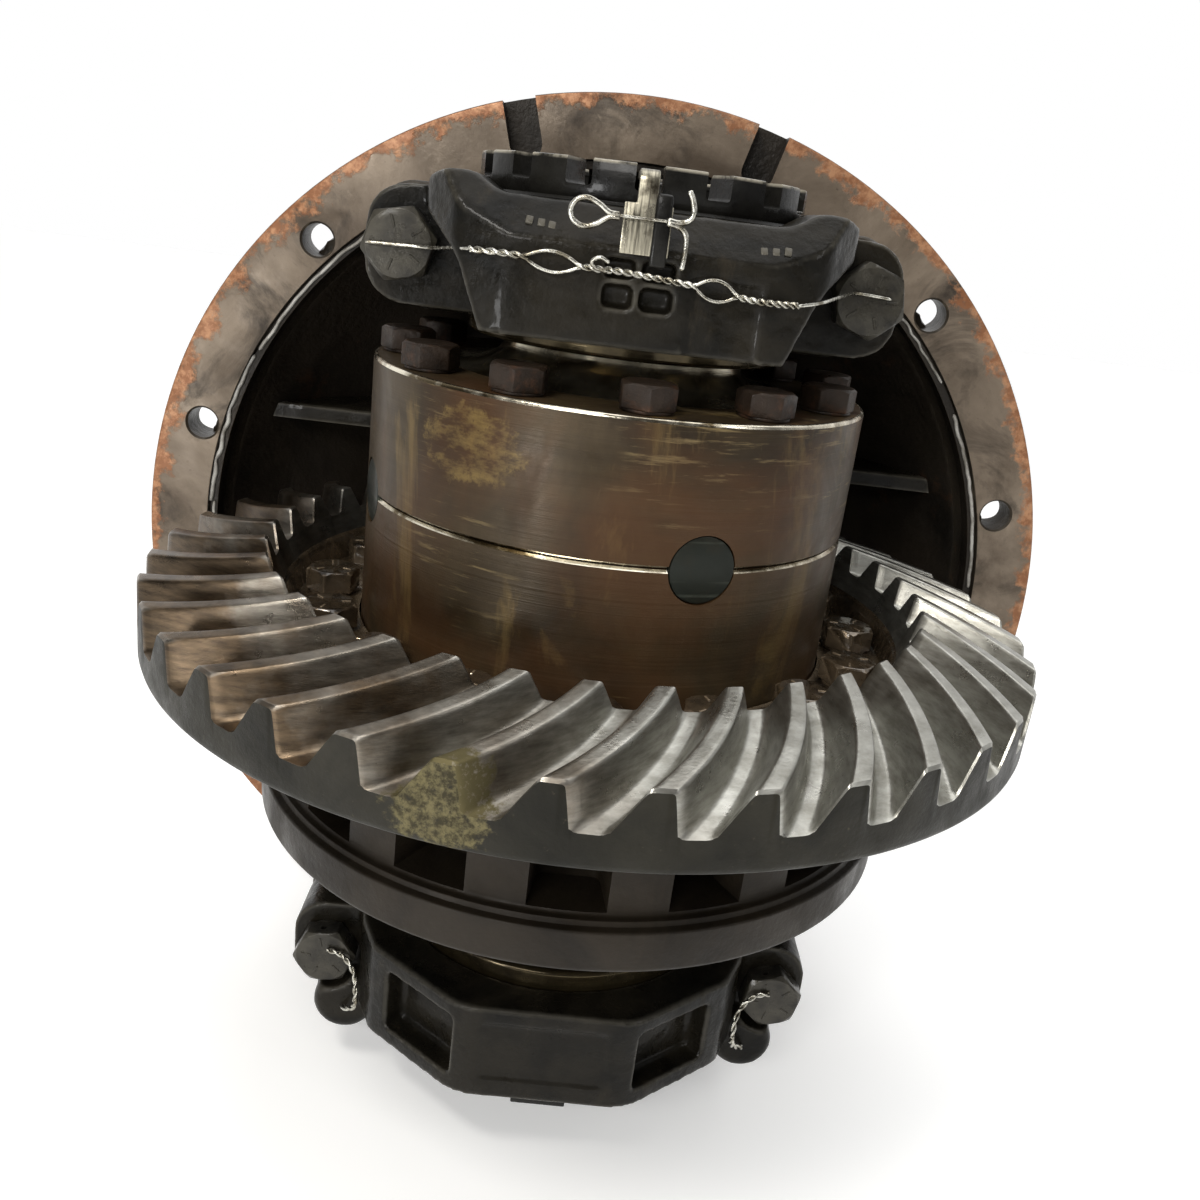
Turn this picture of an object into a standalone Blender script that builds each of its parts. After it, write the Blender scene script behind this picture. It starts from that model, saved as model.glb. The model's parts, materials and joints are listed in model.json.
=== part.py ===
"""Heavy axle differential carrier: housing, bearing caps, diff case, ring gear, drive pinion.

Working coordinates are millimetres from the crossing of the two gear axes: Z runs along the
axle shafts, Y runs along the drive pinion, away from the axle housing.
The object's own origin is the centre of the housing flange's mating face.
"""
import math

import bpy
import bmesh
from mathutils import Matrix, Vector

for old in list(bpy.data.objects):
    bpy.data.objects.remove(old, do_unlink=True)

MM = 0.001

# Housing flange
FLANGE_Y = 81.0
FLANGE_Z = -74.0
FLANGE_R = 250.0
FLANGE_T = 18.0
OPENING_R = 214.0
BOLT_CIRCLE_R = 229.0
FLANGE_HOLE_R = 8.3
NOSE_END_Y = 262.0
CAGE_BORE_R = 68.0

# Ring gear and drive pinion
RING_TEETH = 37
PINION_TEETH = 10
RING_R = 209.5
RING_CONE = math.atan2(RING_TEETH, PINION_TEETH)
PINION_CONE = math.pi / 2 - RING_CONE
HEEL_RHO = RING_R / math.sin(RING_CONE)
TOE_RHO = 161.0
RING_TIP = 3.9
RING_ROOT = 13.2
PINION_TIP = 12.1
PINION_ROOT = 4.9
RING_THICK = 13.0
PINION_THICK = 20.6
PRESSURE = math.radians(24.5)
RING_PHASE = math.radians(-42.45 - 90.0)
SPIRAL_A = -0.6775
SPIRAL_B = 0.0075
GEAR_STATIONS = 5
RING_BACK_Z = -85.0
RING_LEDGE_Z = -73.0
RING_BOLTS = 16
RING_BOLT_R = 129.0

# Differential case
SPIDER_Z = -10.0
SPIDER_ANGLE = math.radians(-70.0)
CASE_R = 112.4
CASE_TOP_Z = 48.4
CAVITY_R = 80.0
CAVITY_DEPTH = 50.4
TRUNNION_R = 14.0
CASE_BOLTS = 12
CASE_BOLT_R = 98.0
AXLE_BORE_R = 31.0
DISC_R = 156.0
DISC_TOP_Z = -143.5
DISC_LOW_Z = -168.5

# Differential gears
SIDE_TEETH = 20
SPIDER_TEETH = 12
DIFF_MODULE = 6.4
SIDE_CONE = math.atan2(SIDE_TEETH, SPIDER_TEETH)
SPIDER_CONE = math.pi / 2 - SIDE_CONE
DIFF_RHO = DIFF_MODULE * SIDE_TEETH / 2 / math.sin(SIDE_CONE)
DIFF_TOE = 50.0

# Bearings and caps
UP_R = 72.0
UP_LOW_Z = 70.0
UP_TOP_Z = 124.0
UP_BOLT_X = 99.0
UP_BOLT_Z = 96.0
LOW_R = 84.0
LOW_TOP_Z = -231.0
LOW_LOW_Z = -281.0
LOW_BOLT_X = 116.0
LOW_BOLT_Z = -256.0
CAP_BOLT_R = 9.3
GAP = 0.3

col = bpy.data.collections.new("differential_carrier")
bpy.context.scene.collection.children.link(col)
work = bpy.data.collections.new("work")
bpy.context.scene.collection.children.link(work)


def material(name, colour, roughness, metallic):
    mat = bpy.data.materials.new(name)
    mat.use_nodes = True
    shader = mat.node_tree.nodes["Principled BSDF"]
    shader.inputs["Base Color"].default_value = (*colour, 1.0)
    shader.inputs["Roughness"].default_value = roughness
    shader.inputs["Metallic"].default_value = metallic
    return mat


def at(x, y, z):
    """Object coordinates, in metres, of a point given from the gear axes' crossing."""
    return Vector((x * MM, (y - FLANGE_Y) * MM, (z - FLANGE_Z) * MM))


def put(name, mesh, where=(0, 0, 0), turn=(0, 0, 0), target=None):
    obj = bpy.data.objects.new(name, mesh)
    (target or work).objects.link(obj)
    obj.location = at(*where)
    obj.rotation_euler = turn
    return obj


def bake(obj):
    """Replaces the object's data by its evaluated mesh."""
    bpy.context.view_layer.update()
    graph = bpy.context.evaluated_depsgraph_get()
    mesh = bpy.data.meshes.new_from_object(obj.evaluated_get(graph))
    bm = bmesh.new()
    bm.from_mesh(mesh)
    bmesh.ops.remove_doubles(bm, verts=bm.verts, dist=0.00001)
    bm.to_mesh(mesh)
    bm.free()
    if obj.type == "MESH":
        obj.modifiers.clear()
        obj.data = mesh
        return obj
    fresh = bpy.data.objects.new(obj.name, mesh)
    work.objects.link(fresh)
    fresh.matrix_world = obj.matrix_world.copy()
    bpy.data.objects.remove(obj, do_unlink=True)
    return fresh


def outward(mesh):
    bm = bmesh.new()
    bm.from_mesh(mesh)
    if bm.calc_volume(signed=True) < 0:
        bmesh.ops.reverse_faces(bm, faces=bm.faces)
    bm.to_mesh(mesh)
    bm.free()


def lathe(name, profile, steps, where=(0, 0, 0), turn=(0, 0, 0)):
    """Closed profile of (radius, height) turned about the local Z axis."""
    mesh = bpy.data.meshes.new(name)
    points = [(r * MM, 0, z * MM) for r, z in profile]
    edges = [(i, (i + 1) % len(points)) for i in range(len(points))]
    mesh.from_pydata(points, edges, [])
    obj = put(name, mesh, where, turn)
    screw = obj.modifiers.new("Screw", "SCREW")
    screw.steps = steps
    screw.render_steps = steps
    screw.use_merge_vertices = True
    screw.merge_threshold = 0.00001
    obj = bake(obj)
    outward(obj.data)
    return obj


def rod(name, radius, start, length, sides, where=(0, 0, 0), turn=(0, 0, 0), spin=0.0):
    """Prism with a regular base, from height start, about the local Z axis."""
    bm = bmesh.new()
    bmesh.ops.create_cone(
        bm, cap_ends=True, segments=sides, radius1=radius * MM, radius2=radius * MM,
        depth=length * MM)
    bmesh.ops.rotate(bm, verts=bm.verts, matrix=rotation_z(spin))
    bmesh.ops.translate(bm, verts=bm.verts, vec=(0, 0, (start + length / 2) * MM))
    mesh = bpy.data.meshes.new(name)
    bm.to_mesh(mesh)
    bm.free()
    return put(name, mesh, where, turn)


def rotation_z(angle):
    return Matrix.Rotation(angle, 3, "Z")


def slab(name, outline, low, high, where=(0, 0, 0), turn=(0, 0, 0)):
    """Outline in the local XY plane, extruded from height low to height high."""
    bm = bmesh.new()
    corners = [bm.verts.new((x * MM, y * MM, low * MM)) for x, y in outline]
    face = bm.faces.new(corners)
    grown = bmesh.ops.extrude_face_region(bm, geom=[face])
    moved = [v for v in grown["geom"] if isinstance(v, bmesh.types.BMVert)]
    bmesh.ops.translate(bm, verts=moved, vec=(0, 0, (high - low) * MM))
    bmesh.ops.recalc_face_normals(bm, faces=bm.faces)
    mesh = bpy.data.meshes.new(name)
    bm.to_mesh(mesh)
    bm.free()
    outward(mesh)
    return put(name, mesh, where, turn)


def block(name, low, high):
    """Box between two corners given from the gear axes' crossing."""
    centre = [(a + b) / 2 for a, b in zip(low, high)]
    bm = bmesh.new()
    bmesh.ops.create_cube(bm, size=1.0)
    size = [abs(b - a) * MM for a, b in zip(low, high)]
    bmesh.ops.scale(bm, verts=bm.verts, vec=size)
    mesh = bpy.data.meshes.new(name)
    bm.to_mesh(mesh)
    bm.free()
    return put(name, mesh, centre)


def combine(obj, others, operation):
    """Exact Boolean of obj with each of the others, which are used up."""
    for other in others:
        step = obj.modifiers.new("Boolean", "BOOLEAN")
        step.solver = "EXACT"
        step.operation = operation
        step.object = other
        obj = bake(obj)
        bpy.data.objects.remove(other, do_unlink=True)
    return obj


def cut(obj, *others):
    return combine(obj, others, "DIFFERENCE")


def join(obj, *others):
    return combine(obj, others, "UNION")


def keep(obj, *others):
    return combine(obj, others, "INTERSECT")


def finish(obj, name, mat, smooth=True):
    """Names the finished piece, gives it its material and puts it in the main collection."""
    obj.name = name
    obj.data.name = name
    obj.data.materials.clear()
    obj.data.materials.append(mat)
    for holder in list(obj.users_collection):
        holder.objects.unlink(obj)
    col.objects.link(obj)
    if smooth:
        obj.data.shade_smooth()
        obj.data.set_sharp_from_angle(angle=math.radians(32))
    return obj


def rings_to_mesh(name, rings):
    """Solid skinned over a sequence of equal rings of points."""
    count = len(rings[0])
    points = [Vector(p) * MM for ring in rings for p in ring]
    faces = []
    for k in range(len(rings) - 1):
        a = k * count
        b = a + count
        for i in range(count):
            j = (i + 1) % count
            faces.append((a + i, a + j, b + j, b + i))
    faces.append(tuple(reversed(range(count))))
    faces.append(tuple(range((len(rings) - 1) * count, len(rings) * count)))
    mesh = bpy.data.meshes.new(name)
    mesh.from_pydata(points, [], faces)
    outward(mesh)
    return mesh


def gear_mesh(name, fine, coarse, per_tooth, ends):
    """Skin over toothed rings, then over plain rings of two points per tooth.

    coarse lists (ring to take angles from, radius, height); ends closes the two ends with flat
    faces, the plain rings before the teeth being given first in ends.
    """
    teeth = len(fine[0]) // per_tooth
    last = per_tooth - 1
    points = [p for ring in fine for p in ring]
    count = len(fine[0])
    faces = []
    for k in range(len(fine) - 1):
        a = k * count
        b = a + count
        faces += [(a + i, a + (i + 1) % count, b + (i + 1) % count, b + i) for i in range(count)]

    def plain(like, radius, height):
        start = len(points)
        for k in range(teeth):
            for i in (0, last):
                x, y, z = like[k * per_tooth + i]
                angle = math.atan2(y, x)
                points.append((radius * math.cos(angle), radius * math.sin(angle), height))
        return start

    def blend(a, c, flip):
        """Faces between the toothed ring starting at a and the plain ring starting at c."""
        half = per_tooth // 2
        for k in range(teeth):
            f = a + k * per_tooth
            c0 = c + 2 * k
            c1 = c0 + 1
            group = [(f + i, f + i + 1, c0) for i in range(half - 1)]
            group.append((f + half - 1, f + half, c1, c0))
            group += [(f + i, f + i + 1, c1) for i in range(half, last)]
            group.append((f + last, a + (k + 1) % teeth * per_tooth,
                          c + (2 * k + 2) % (2 * teeth), c1))
            faces.extend(tuple(reversed(g)) if flip else g for g in group)

    def span(a, b):
        n = 2 * teeth
        faces.extend((a + i, a + (i + 1) % n, b + (i + 1) % n, b + i) for i in range(n))

    after = [plain(*c) for c in coarse]
    blend((len(fine) - 1) * count, after[0], False)
    for a, b in zip(after, after[1:]):
        span(a, b)
    if ends is None:
        blend(0, after[-1], True)
    else:
        before = [plain(*c) for c in ends]
        for a, b in zip(before, before[1:]):
            span(a, b)
        blend(0, before[-1], True)
        n = 2 * teeth
        faces.append(tuple(reversed(range(before[0], before[0] + n))))
        faces.append(tuple(range(after[-1], after[-1] + n)))
    mesh = bpy.data.meshes.new(name)
    mesh.from_pydata([Vector(p) * MM for p in points], [], faces)
    outward(mesh)
    return mesh


def involute(angle):
    return math.tan(angle) - angle


def half_angle(rho, cone, height, thick):
    """Half the tooth's angle about the gear axis at a height above the pitch cone."""
    pitch = rho * math.tan(cone)
    base = pitch * math.cos(PRESSURE)
    reach = max(pitch + height, base * 1.0005)
    here = math.acos(base / reach)
    flat = thick / (2 * pitch) + involute(PRESSURE) - involute(here)
    return flat / math.cos(cone)


def bevel_ring(teeth, cone, rhos, big, levels, thick, centre_of, side):
    """One ring of tooth points. levels are heights at the big end, root to tip."""
    ring = []
    for k in range(teeth):
        marks = [(-1, h) for h in levels] + [(1, h) for h in reversed(levels)]
        for sign, level in marks:
            rho = rhos(level)
            height = level * rho / big
            centre = centre_of(rho) + 2 * math.pi * k / teeth
            angle = centre + sign * half_angle(rho, cone, height, thick * rho / big)
            radius = rho * math.sin(cone) + height * math.cos(cone)
            axial = rho * math.cos(cone) - height * math.sin(cone)
            ring.append((radius * math.cos(angle), radius * math.sin(angle), side * axial))
    return ring


def crown_angle(rho):
    return SPIRAL_A * math.log(rho / TOE_RHO) + SPIRAL_B * (rho - TOE_RHO)


def ring_trace(rho):
    heel = crown_angle(HEEL_RHO)
    return RING_PHASE + (heel - crown_angle(rho)) / math.sin(RING_CONE)


def pinion_trace(rho):
    pitch = 2 * math.pi / RING_TEETH
    heel = crown_angle(HEEL_RHO)
    gap = RING_PHASE + pitch / 2
    steps = round((math.pi / 2 - gap) / pitch)
    offset = gap + steps * pitch - math.pi / 2
    offset += (heel - crown_angle(rho)) / math.sin(RING_CONE)
    return math.pi / 2 + offset * RING_TEETH / PINION_TEETH


# ---------------------------------------------------------------- materials
cast_grey = material("cast_carrier", (0.16, 0.14, 0.12), 0.55, 0.5)
cap_black = material("oiled_cap", (0.03, 0.03, 0.028), 0.25, 0.6)
bolt_dark = material("oiled_bolt", (0.05, 0.05, 0.045), 0.35, 0.9)
bolt_rust = material("rusty_bolt", (0.16, 0.11, 0.08), 0.5, 0.8)
case_bronze = material("oiled_case", (0.12, 0.095, 0.06), 0.35, 0.85)
gear_steel = material("gear_steel", (0.32, 0.31, 0.29), 0.3, 1.0)
pinion_steel = material("pinion_steel", (0.3, 0.29, 0.28), 0.3, 1.0)
bright_steel = material("bearing_steel", (0.5, 0.48, 0.42), 0.15, 1.0)
wire_steel = material("wire_steel", (0.45, 0.45, 0.43), 0.3, 1.0)
seal_rubber = material("seal_rubber", (0.02, 0.02, 0.02), 0.6, 0.0)
flange_paint = material("coupling_steel", (0.2, 0.2, 0.2), 0.45, 0.9)

TO_Y = (-math.pi / 2, 0, 0)


# ---------------------------------------------------------------- ring gear
def heel_rho(level):
    return RING_R / (math.sin(RING_CONE) + level / HEEL_RHO * math.cos(RING_CONE))


def make_ring_gear():
    levels = (-RING_ROOT, RING_TIP)
    tooth_rings = []
    for s in range(GEAR_STATIONS):
        share = s / (GEAR_STATIONS - 1)

        def rhos(level, share=share):
            return TOE_RHO + (heel_rho(level) - TOE_RHO) * share

        tooth_rings.append(bevel_ring(
            RING_TEETH, RING_CONE, rhos, HEEL_RHO, levels, RING_THICK, ring_trace, -1))
    toe = tooth_rings[0]
    heel = tooth_rings[-1]
    coarse = [
        (heel, RING_R, RING_BACK_Z + 2.5),
        (heel, RING_R - 2.5, RING_BACK_Z),
        (toe, CASE_R + 0.7, RING_BACK_Z),
        (toe, CASE_R + 0.7, RING_LEDGE_Z),
        (toe, 143.0, RING_LEDGE_Z),
        (toe, 146.5, -61.0),
    ]
    gear = put("ring", gear_mesh("ring", tooth_rings, coarse, 4, None))
    for k in range(RING_BOLTS):
        angle = 2 * math.pi * k / RING_BOLTS
        head = rod(
            "head", 13.2, RING_LEDGE_Z - 2, 14.0, 6,
            (RING_BOLT_R * math.cos(angle), RING_BOLT_R * math.sin(angle), 0),
            (0, 0, angle + math.pi / 6))
        gear = join(gear, head)
    return finish(gear, "ring_gear", gear_steel)


# ---------------------------------------------------------------- drive pinion
def make_pinion():
    levels = (-PINION_ROOT, PINION_TIP * 0.35, PINION_TIP)
    tooth_rings = []
    for s in range(2 * GEAR_STATIONS - 1):
        rho = TOE_RHO + (HEEL_RHO - TOE_RHO) * s / (2 * GEAR_STATIONS - 2)
        tooth_rings.append(bevel_ring(
            PINION_TEETH, PINION_CONE, lambda level, rho=rho: rho, HEEL_RHO, levels,
            PINION_THICK, pinion_trace, 1))
    toe = tooth_rings[0]
    heel = tooth_rings[-1]
    start = [(toe, 30.0, 153.0)]
    shaft = [
        (heel, 42.0, 219.0), (heel, 34.0, 219.0), (heel, 34.0, 238.3), (heel, 29.0, 238.8),
        (heel, 29.0, 306.0), (heel, 24.0, 307.0), (heel, 24.0, 358.0),
    ]
    mesh = gear_mesh("pinion", tooth_rings, shaft, 6, start)
    return finish(put("pinion", mesh, (0, 0, 0), TO_Y), "drive_pinion", pinion_steel)


# ---------------------------------------------------------------- differential gears
def straight_gear(teeth, cone, levels, thick, phase, side):
    def ring(rho):
        return bevel_ring(teeth, cone, lambda level: rho, DIFF_RHO, levels, thick,
                          lambda r: phase, side)
    return ring(DIFF_TOE), ring(DIFF_RHO)


def make_side_gear(name, side):
    thick = math.pi * DIFF_MODULE / 2 - 0.55
    levels = (-7.7, 6.2)
    toe, heel = straight_gear(SIDE_TEETH, SIDE_CONE, levels, thick, SPIDER_ANGLE, side)
    coarse = [
        (heel, 60.5, side * 50.0), (heel, 39.8, side * 50.0), (heel, 39.8, side * 64.0),
        (heel, 25.0, side * 64.0), (toe, 25.0, side * 34.0),
    ]
    mesh = gear_mesh(name, [toe, heel], coarse, 4, None)
    return finish(put(name, mesh, (0, 0, SPIDER_Z)), name, gear_steel)


def make_spider_pinion(number):
    thick = math.pi * DIFF_MODULE / 2 - 0.55
    levels = (-7.6, 6.2)
    toe, heel = straight_gear(
        SPIDER_TEETH, SPIDER_CONE, levels, thick, math.pi / SPIDER_TEETH, 1)
    coarse = [
        (heel, 28.0, 72.0), (heel, 19.0, 76.0), (heel, TRUNNION_R + 0.9, 76.0),
        (toe, TRUNNION_R + 0.9, 43.5),
    ]
    name = "spider_pinion_%d" % number
    angle = SPIDER_ANGLE + (number - 1) * math.pi / 2
    mesh = gear_mesh(name, [toe, heel], coarse, 4, None)
    return finish(put(name, mesh, (0, 0, SPIDER_Z), (0, math.pi / 2, angle)), name, gear_steel)


def trunnion(radius, sides, angle, length):
    return rod("trunnion", radius, -length, 2 * length, sides, (0, 0, SPIDER_Z),
               (0, math.pi / 2, angle), math.pi / sides)


def make_spider():
    hub = lathe("hub", [(10, 15), (26, 15), (26, -15), (10, -15)], 20,
                (0, 0, SPIDER_Z))
    first = trunnion(TRUNNION_R, 16, SPIDER_ANGLE, CASE_R - 0.6)
    second = trunnion(TRUNNION_R, 16, SPIDER_ANGLE + math.pi / 2, CASE_R - 0.6)
    hub = join(hub, first, second)
    return finish(hub, "spider_cross", gear_steel)


# ---------------------------------------------------------------- case halves
def make_plain_half():
    base = SPIDER_Z + GAP
    floor = SPIDER_Z + CAVITY_DEPTH
    profile = [
        (AXLE_BORE_R, 103.0), (45.0, 103.0), (45.0, 62.6), (55.0, 62.6),
        (55.0, 58.0), (54.0, 53.0), (66.0, CASE_TOP_Z), (CASE_R, CASE_TOP_Z),
        (CASE_R, base + 1.0), (CASE_R - 1.0, base),
        (CAVITY_R, base), (CAVITY_R, floor), (40.4, floor), (40.4, SPIDER_Z + 65.0),
        (AXLE_BORE_R, SPIDER_Z + 65.0),
    ]
    half = lathe("plain", profile, 36)
    for k in (0, 1):
        half = cut(half, trunnion(TRUNNION_R + 0.6, 20, SPIDER_ANGLE + k * math.pi / 2, 130))
    for k in range(CASE_BOLTS):
        angle = SPIDER_ANGLE + math.pi / 12 + 2 * math.pi * k / CASE_BOLTS
        where = (CASE_BOLT_R * math.cos(angle), CASE_BOLT_R * math.sin(angle), 0)
        half = cut(half, rod("hole", 6.8, 12.0, 60.0, 8, where))
    return finish(half, "plain_case_half", case_bronze)


def make_flange_half():
    base = SPIDER_Z - GAP
    floor = SPIDER_Z - CAVITY_DEPTH
    seat = RING_BACK_Z - GAP
    profile = [
        (CAVITY_R, base), (CASE_R - 1.0, base), (CASE_R, base - 1.0), (CASE_R, seat),
        (148.0, seat), (148.0, DISC_TOP_Z), (DISC_R, DISC_TOP_Z),
        (DISC_R, DISC_LOW_Z), (126.0, DISC_LOW_Z),
        (92.0, -181.0), (70.0, -200.0), (65.0, -221.7), (54.0, -221.7),
        (54.0, -285.0), (AXLE_BORE_R, -285.0),
        (AXLE_BORE_R, SPIDER_Z - 65.0), (40.4, SPIDER_Z - 65.0), (40.4, floor),
        (CAVITY_R, floor),
    ]
    half = lathe("flanged", profile, 36)
    for k in (0, 1):
        half = cut(half, trunnion(TRUNNION_R + 0.6, 20, SPIDER_ANGLE + k * math.pi / 2, 130))
    for k in range(RING_BOLTS):
        angle = 2 * math.pi * k / RING_BOLTS
        pocket = slab("pocket", [(123, -13), (152, -17), (152, 17), (123, 13)],
                      DISC_TOP_Z + 1.0, -97.0, (0, 0, 0), (0, 0, angle))
        half = cut(half, pocket)
    return finish(half, "flange_case_half", case_bronze)


def make_case_bolt(number):
    angle = SPIDER_ANGLE + math.pi / 12 + 2 * math.pi * (number - 1) / CASE_BOLTS
    where = (CASE_BOLT_R * math.cos(angle), CASE_BOLT_R * math.sin(angle), 0)
    turn = (0, 0, angle * 2.3)
    bolt = rod("head", 12.2, CASE_TOP_Z + GAP, 11.0, 6, where, turn)
    bolt = join(bolt, rod("shank", 5.8, 14.0, CASE_TOP_Z + 3 - 14.0, 6, where, turn))
    return finish(bolt, "case_bolt_%02d" % number, bolt_rust, False)


# ---------------------------------------------------------------- differential bearings
def make_bearing(tag, bore, cup_in, cup_out, back, front):
    """Cup and cone with rollers; back is the case side, front the adjuster side."""
    away = 1 if front > back else -1
    cup = lathe("cup", [
        (cup_in - 4, back), (cup_out - 1.2, back), (cup_out, back + 1.2 * away), (cup_out, front),
        (cup_in + 2, front)], 32)
    finish(cup, "bearing_cup_" + tag, bright_steel)
    cone = lathe("cone", [
        (bore + GAP, back + 1.0 * away), (bore + 9, back + 1.0 * away), (cup_in - 4.8, back + 4 * away),
        (cup_in + 0.1, front - 4 * away), (bore + 7, front), (bore + GAP, front)], 32)
    finish(cone, "bearing_cone_" + tag, bright_steel)


def make_adjuster(tag, radius, inner, low, high, outer):
    """Threaded adjusting ring with castellations on its outer end."""
    away = 1 if outer == high else -1
    ring = lathe("adjuster", [
        (inner, low), (radius - GAP, low), (radius - GAP, high), (inner, high)], 32)
    for k in range(4):
        angle = math.pi * k / 8
        for half in (0, 1):
            turn = angle + half * math.pi / 2
            bar = block("notch", (-radius - 4, -5.5, outer - 10 * away), (radius + 4, 5.5, outer + 4 * away))
            bar.rotation_euler = (0, 0, turn)
            ring = cut(ring, bar)
    return finish(ring, "adjusting_ring_" + tag, cap_black)


# ---------------------------------------------------------------- caps
def make_cap_upper():
    outline = [(46, -93), (66, -84), (79, -60), (81.5, -30), (115, -30), (115, -GAP),
               (-115, -GAP), (-115, -30), (-81.5, -30), (-79, -60), (-66, -84), (-46, -93)]
    cap = slab("cap", outline, UP_LOW_Z, UP_TOP_Z - 2)
    for side in (-1, 1):
        hump = slab("hump", [(side * 52, -91.5), (side * 66, -84.5), (side * 79.5, -60),
                             (side * 80.5, -42), (side * 60, -42)], UP_TOP_Z - 12, UP_TOP_Z + 3)
        cap = join(cap, hump)
    cap = cut(cap, rod("bore", UP_R + 0.2, UP_LOW_Z - 5, 90, 40, (0, 0, 0), (0, 0, 0), math.pi / 40))
    for side in (-1, 1):
        cap = cut(cap, rod("hole", CAP_BOLT_R + 0.7, -120, 125, 12, (side * UP_BOLT_X, 0, UP_BOLT_Z), TO_Y))
    pocket = block("pocket", (-13, -98, 84), (13, -86, 103))
    cap = cut(cap, pocket)
    return finish(cap, "bearing_cap_upper", cap_black)


def make_cap_lower():
    outline = [(40, -103), (88, -66), (98, -34), (134, -34), (134, -GAP),
               (-134, -GAP), (-134, -34), (-98, -34), (-88, -66), (-40, -103)]
    cap = slab("cap", outline, LOW_LOW_Z, LOW_TOP_Z)
    cap = cut(cap, rod("bore", LOW_R + 0.2, LOW_LOW_Z - 5, 90, 40, (0, 0, 0), (0, 0, 0), math.pi / 40))
    for side in (-1, 1):
        cap = cut(cap, rod("hole", CAP_BOLT_R + 0.7, -120, 125, 12, (side * LOW_BOLT_X, 0, LOW_BOLT_Z), TO_Y))
        window = block("window", (-21, -14, -273), (21, 14, -240))
        window.location = at(side * 61, -88, -256.5)
        window.rotation_euler = (0, 0, side * math.atan2(37, 48))
        cap = cut(cap, window)
    return finish(cap, "bearing_cap_lower", cap_black)


def make_cap_bolt(name, x, seat, z):
    bolt = rod("head", 16.3, -12.5, 12.5 - GAP, 6, (x, seat, z), TO_Y, 0.2)
    bolt = join(bolt, rod("shank", CAP_BOLT_R, -3, -seat + 34, 12, (x, seat, z), TO_Y))
    return finish(bolt, name, bolt_dark, False)


# ---------------------------------------------------------------- carrier housing
def tube_solid(name, stations, sides):
    """Solid skinned over circles, each given as (y, radius, centre z)."""
    rings = []
    for y, radius, centre in stations:
        ring = []
        for i in range(sides):
            angle = 2 * math.pi * i / sides
            ring.append((radius * math.cos(angle), y, centre + radius * math.sin(angle)))
        rings.append(ring)
    return put(name, rings_to_mesh(name, rings))


def make_housing():
    sides = 40
    outer = tube_solid("outer", [
        (FLANGE_Y, FLANGE_R, FLANGE_Z), (FLANGE_Y + FLANGE_T, FLANGE_R, FLANGE_Z),
        (FLANGE_Y + FLANGE_T + 1, 231, FLANGE_Z), (122, 222, FLANGE_Z), (150, 196, -70),
        (185, 165, -58), (212, 138, -38), (228, 114, -10), (240, 106, 0), (NOSE_END_Y, 106, 0),
    ], sides)
    inner = tube_solid("inner", [
        (FLANGE_Y - 1, OPENING_R, FLANGE_Z), (108, 208, FLANGE_Z), (150, 181, -70),
        (185, 148, -60), (212, 118, -41), (226, CAGE_BORE_R, 0), (NOSE_END_Y + 1, CAGE_BORE_R, 0),
    ], sides)
    body = cut(outer, inner)
    for low, high, wide, bore, bolt_x, bolt_z in (
            (UP_LOW_Z, UP_TOP_Z - 2, 115, UP_R, UP_BOLT_X, UP_BOLT_Z),
            (LOW_LOW_Z, LOW_TOP_Z, 134, LOW_R, LOW_BOLT_X, LOW_BOLT_Z)):
        leg = block("leg", (-wide, GAP, low), (wide, 186, high))
        clip = tube_solid("clip", [
            (-5, 330, FLANGE_Z), (44, 330, FLANGE_Z), (70, OPENING_R - 2, FLANGE_Z), (108, 212, FLANGE_Z),
            (150, 188, -70), (185, 156, -59), (190, 150, -59)], sides)
        leg = keep(leg, clip)
        body = join(body, leg)
        length = high - low + 26
        body = cut(body, rod("bore", bore + 0.2, low - 16, length, 40, (0, 0, 0), (0, 0, 0), math.pi / 40))
        for side in (-1, 1):
            body = cut(body, rod("hole", CAP_BOLT_R + 0.7, -5, 42, 12, (side * bolt_x, 0, bolt_z), TO_Y))
    cutters = []
    for k in range(12):
        angle = math.radians(15 + 30 * k)
        where = (BOLT_CIRCLE_R * math.cos(angle), FLANGE_Y, FLANGE_Z + BOLT_CIRCLE_R * math.sin(angle))
        cutters.append(rod("hole", FLANGE_HOLE_R, -5, FLANGE_T + 12, 10, where, TO_Y))
        if k in (2, 3):
            slot = block("slot", (-FLANGE_HOLE_R, FLANGE_Y - 5, 0), (FLANGE_HOLE_R, FLANGE_Y + FLANGE_T + 5, 40))
            slot.location = at(
                (BOLT_CIRCLE_R + 20) * math.cos(angle), FLANGE_Y + 6,
                FLANGE_Z + (BOLT_CIRCLE_R + 20) * math.sin(angle))
            slot.rotation_euler = (0, math.pi / 2 - angle, 0)
            cutters.append(slot)
    body = cut(body, *cutters)
    holes = []
    for k in range(6):
        angle = math.radians(30 + 60 * k)
        where = (88 * math.cos(angle), NOSE_END_Y, 88 * math.sin(angle))
        holes.append(rod("hole", 6.6, -22, 26, 8, where, TO_Y))
    body = cut(body, *holes)
    return finish(body, "carrier_housing", cast_grey)


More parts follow.
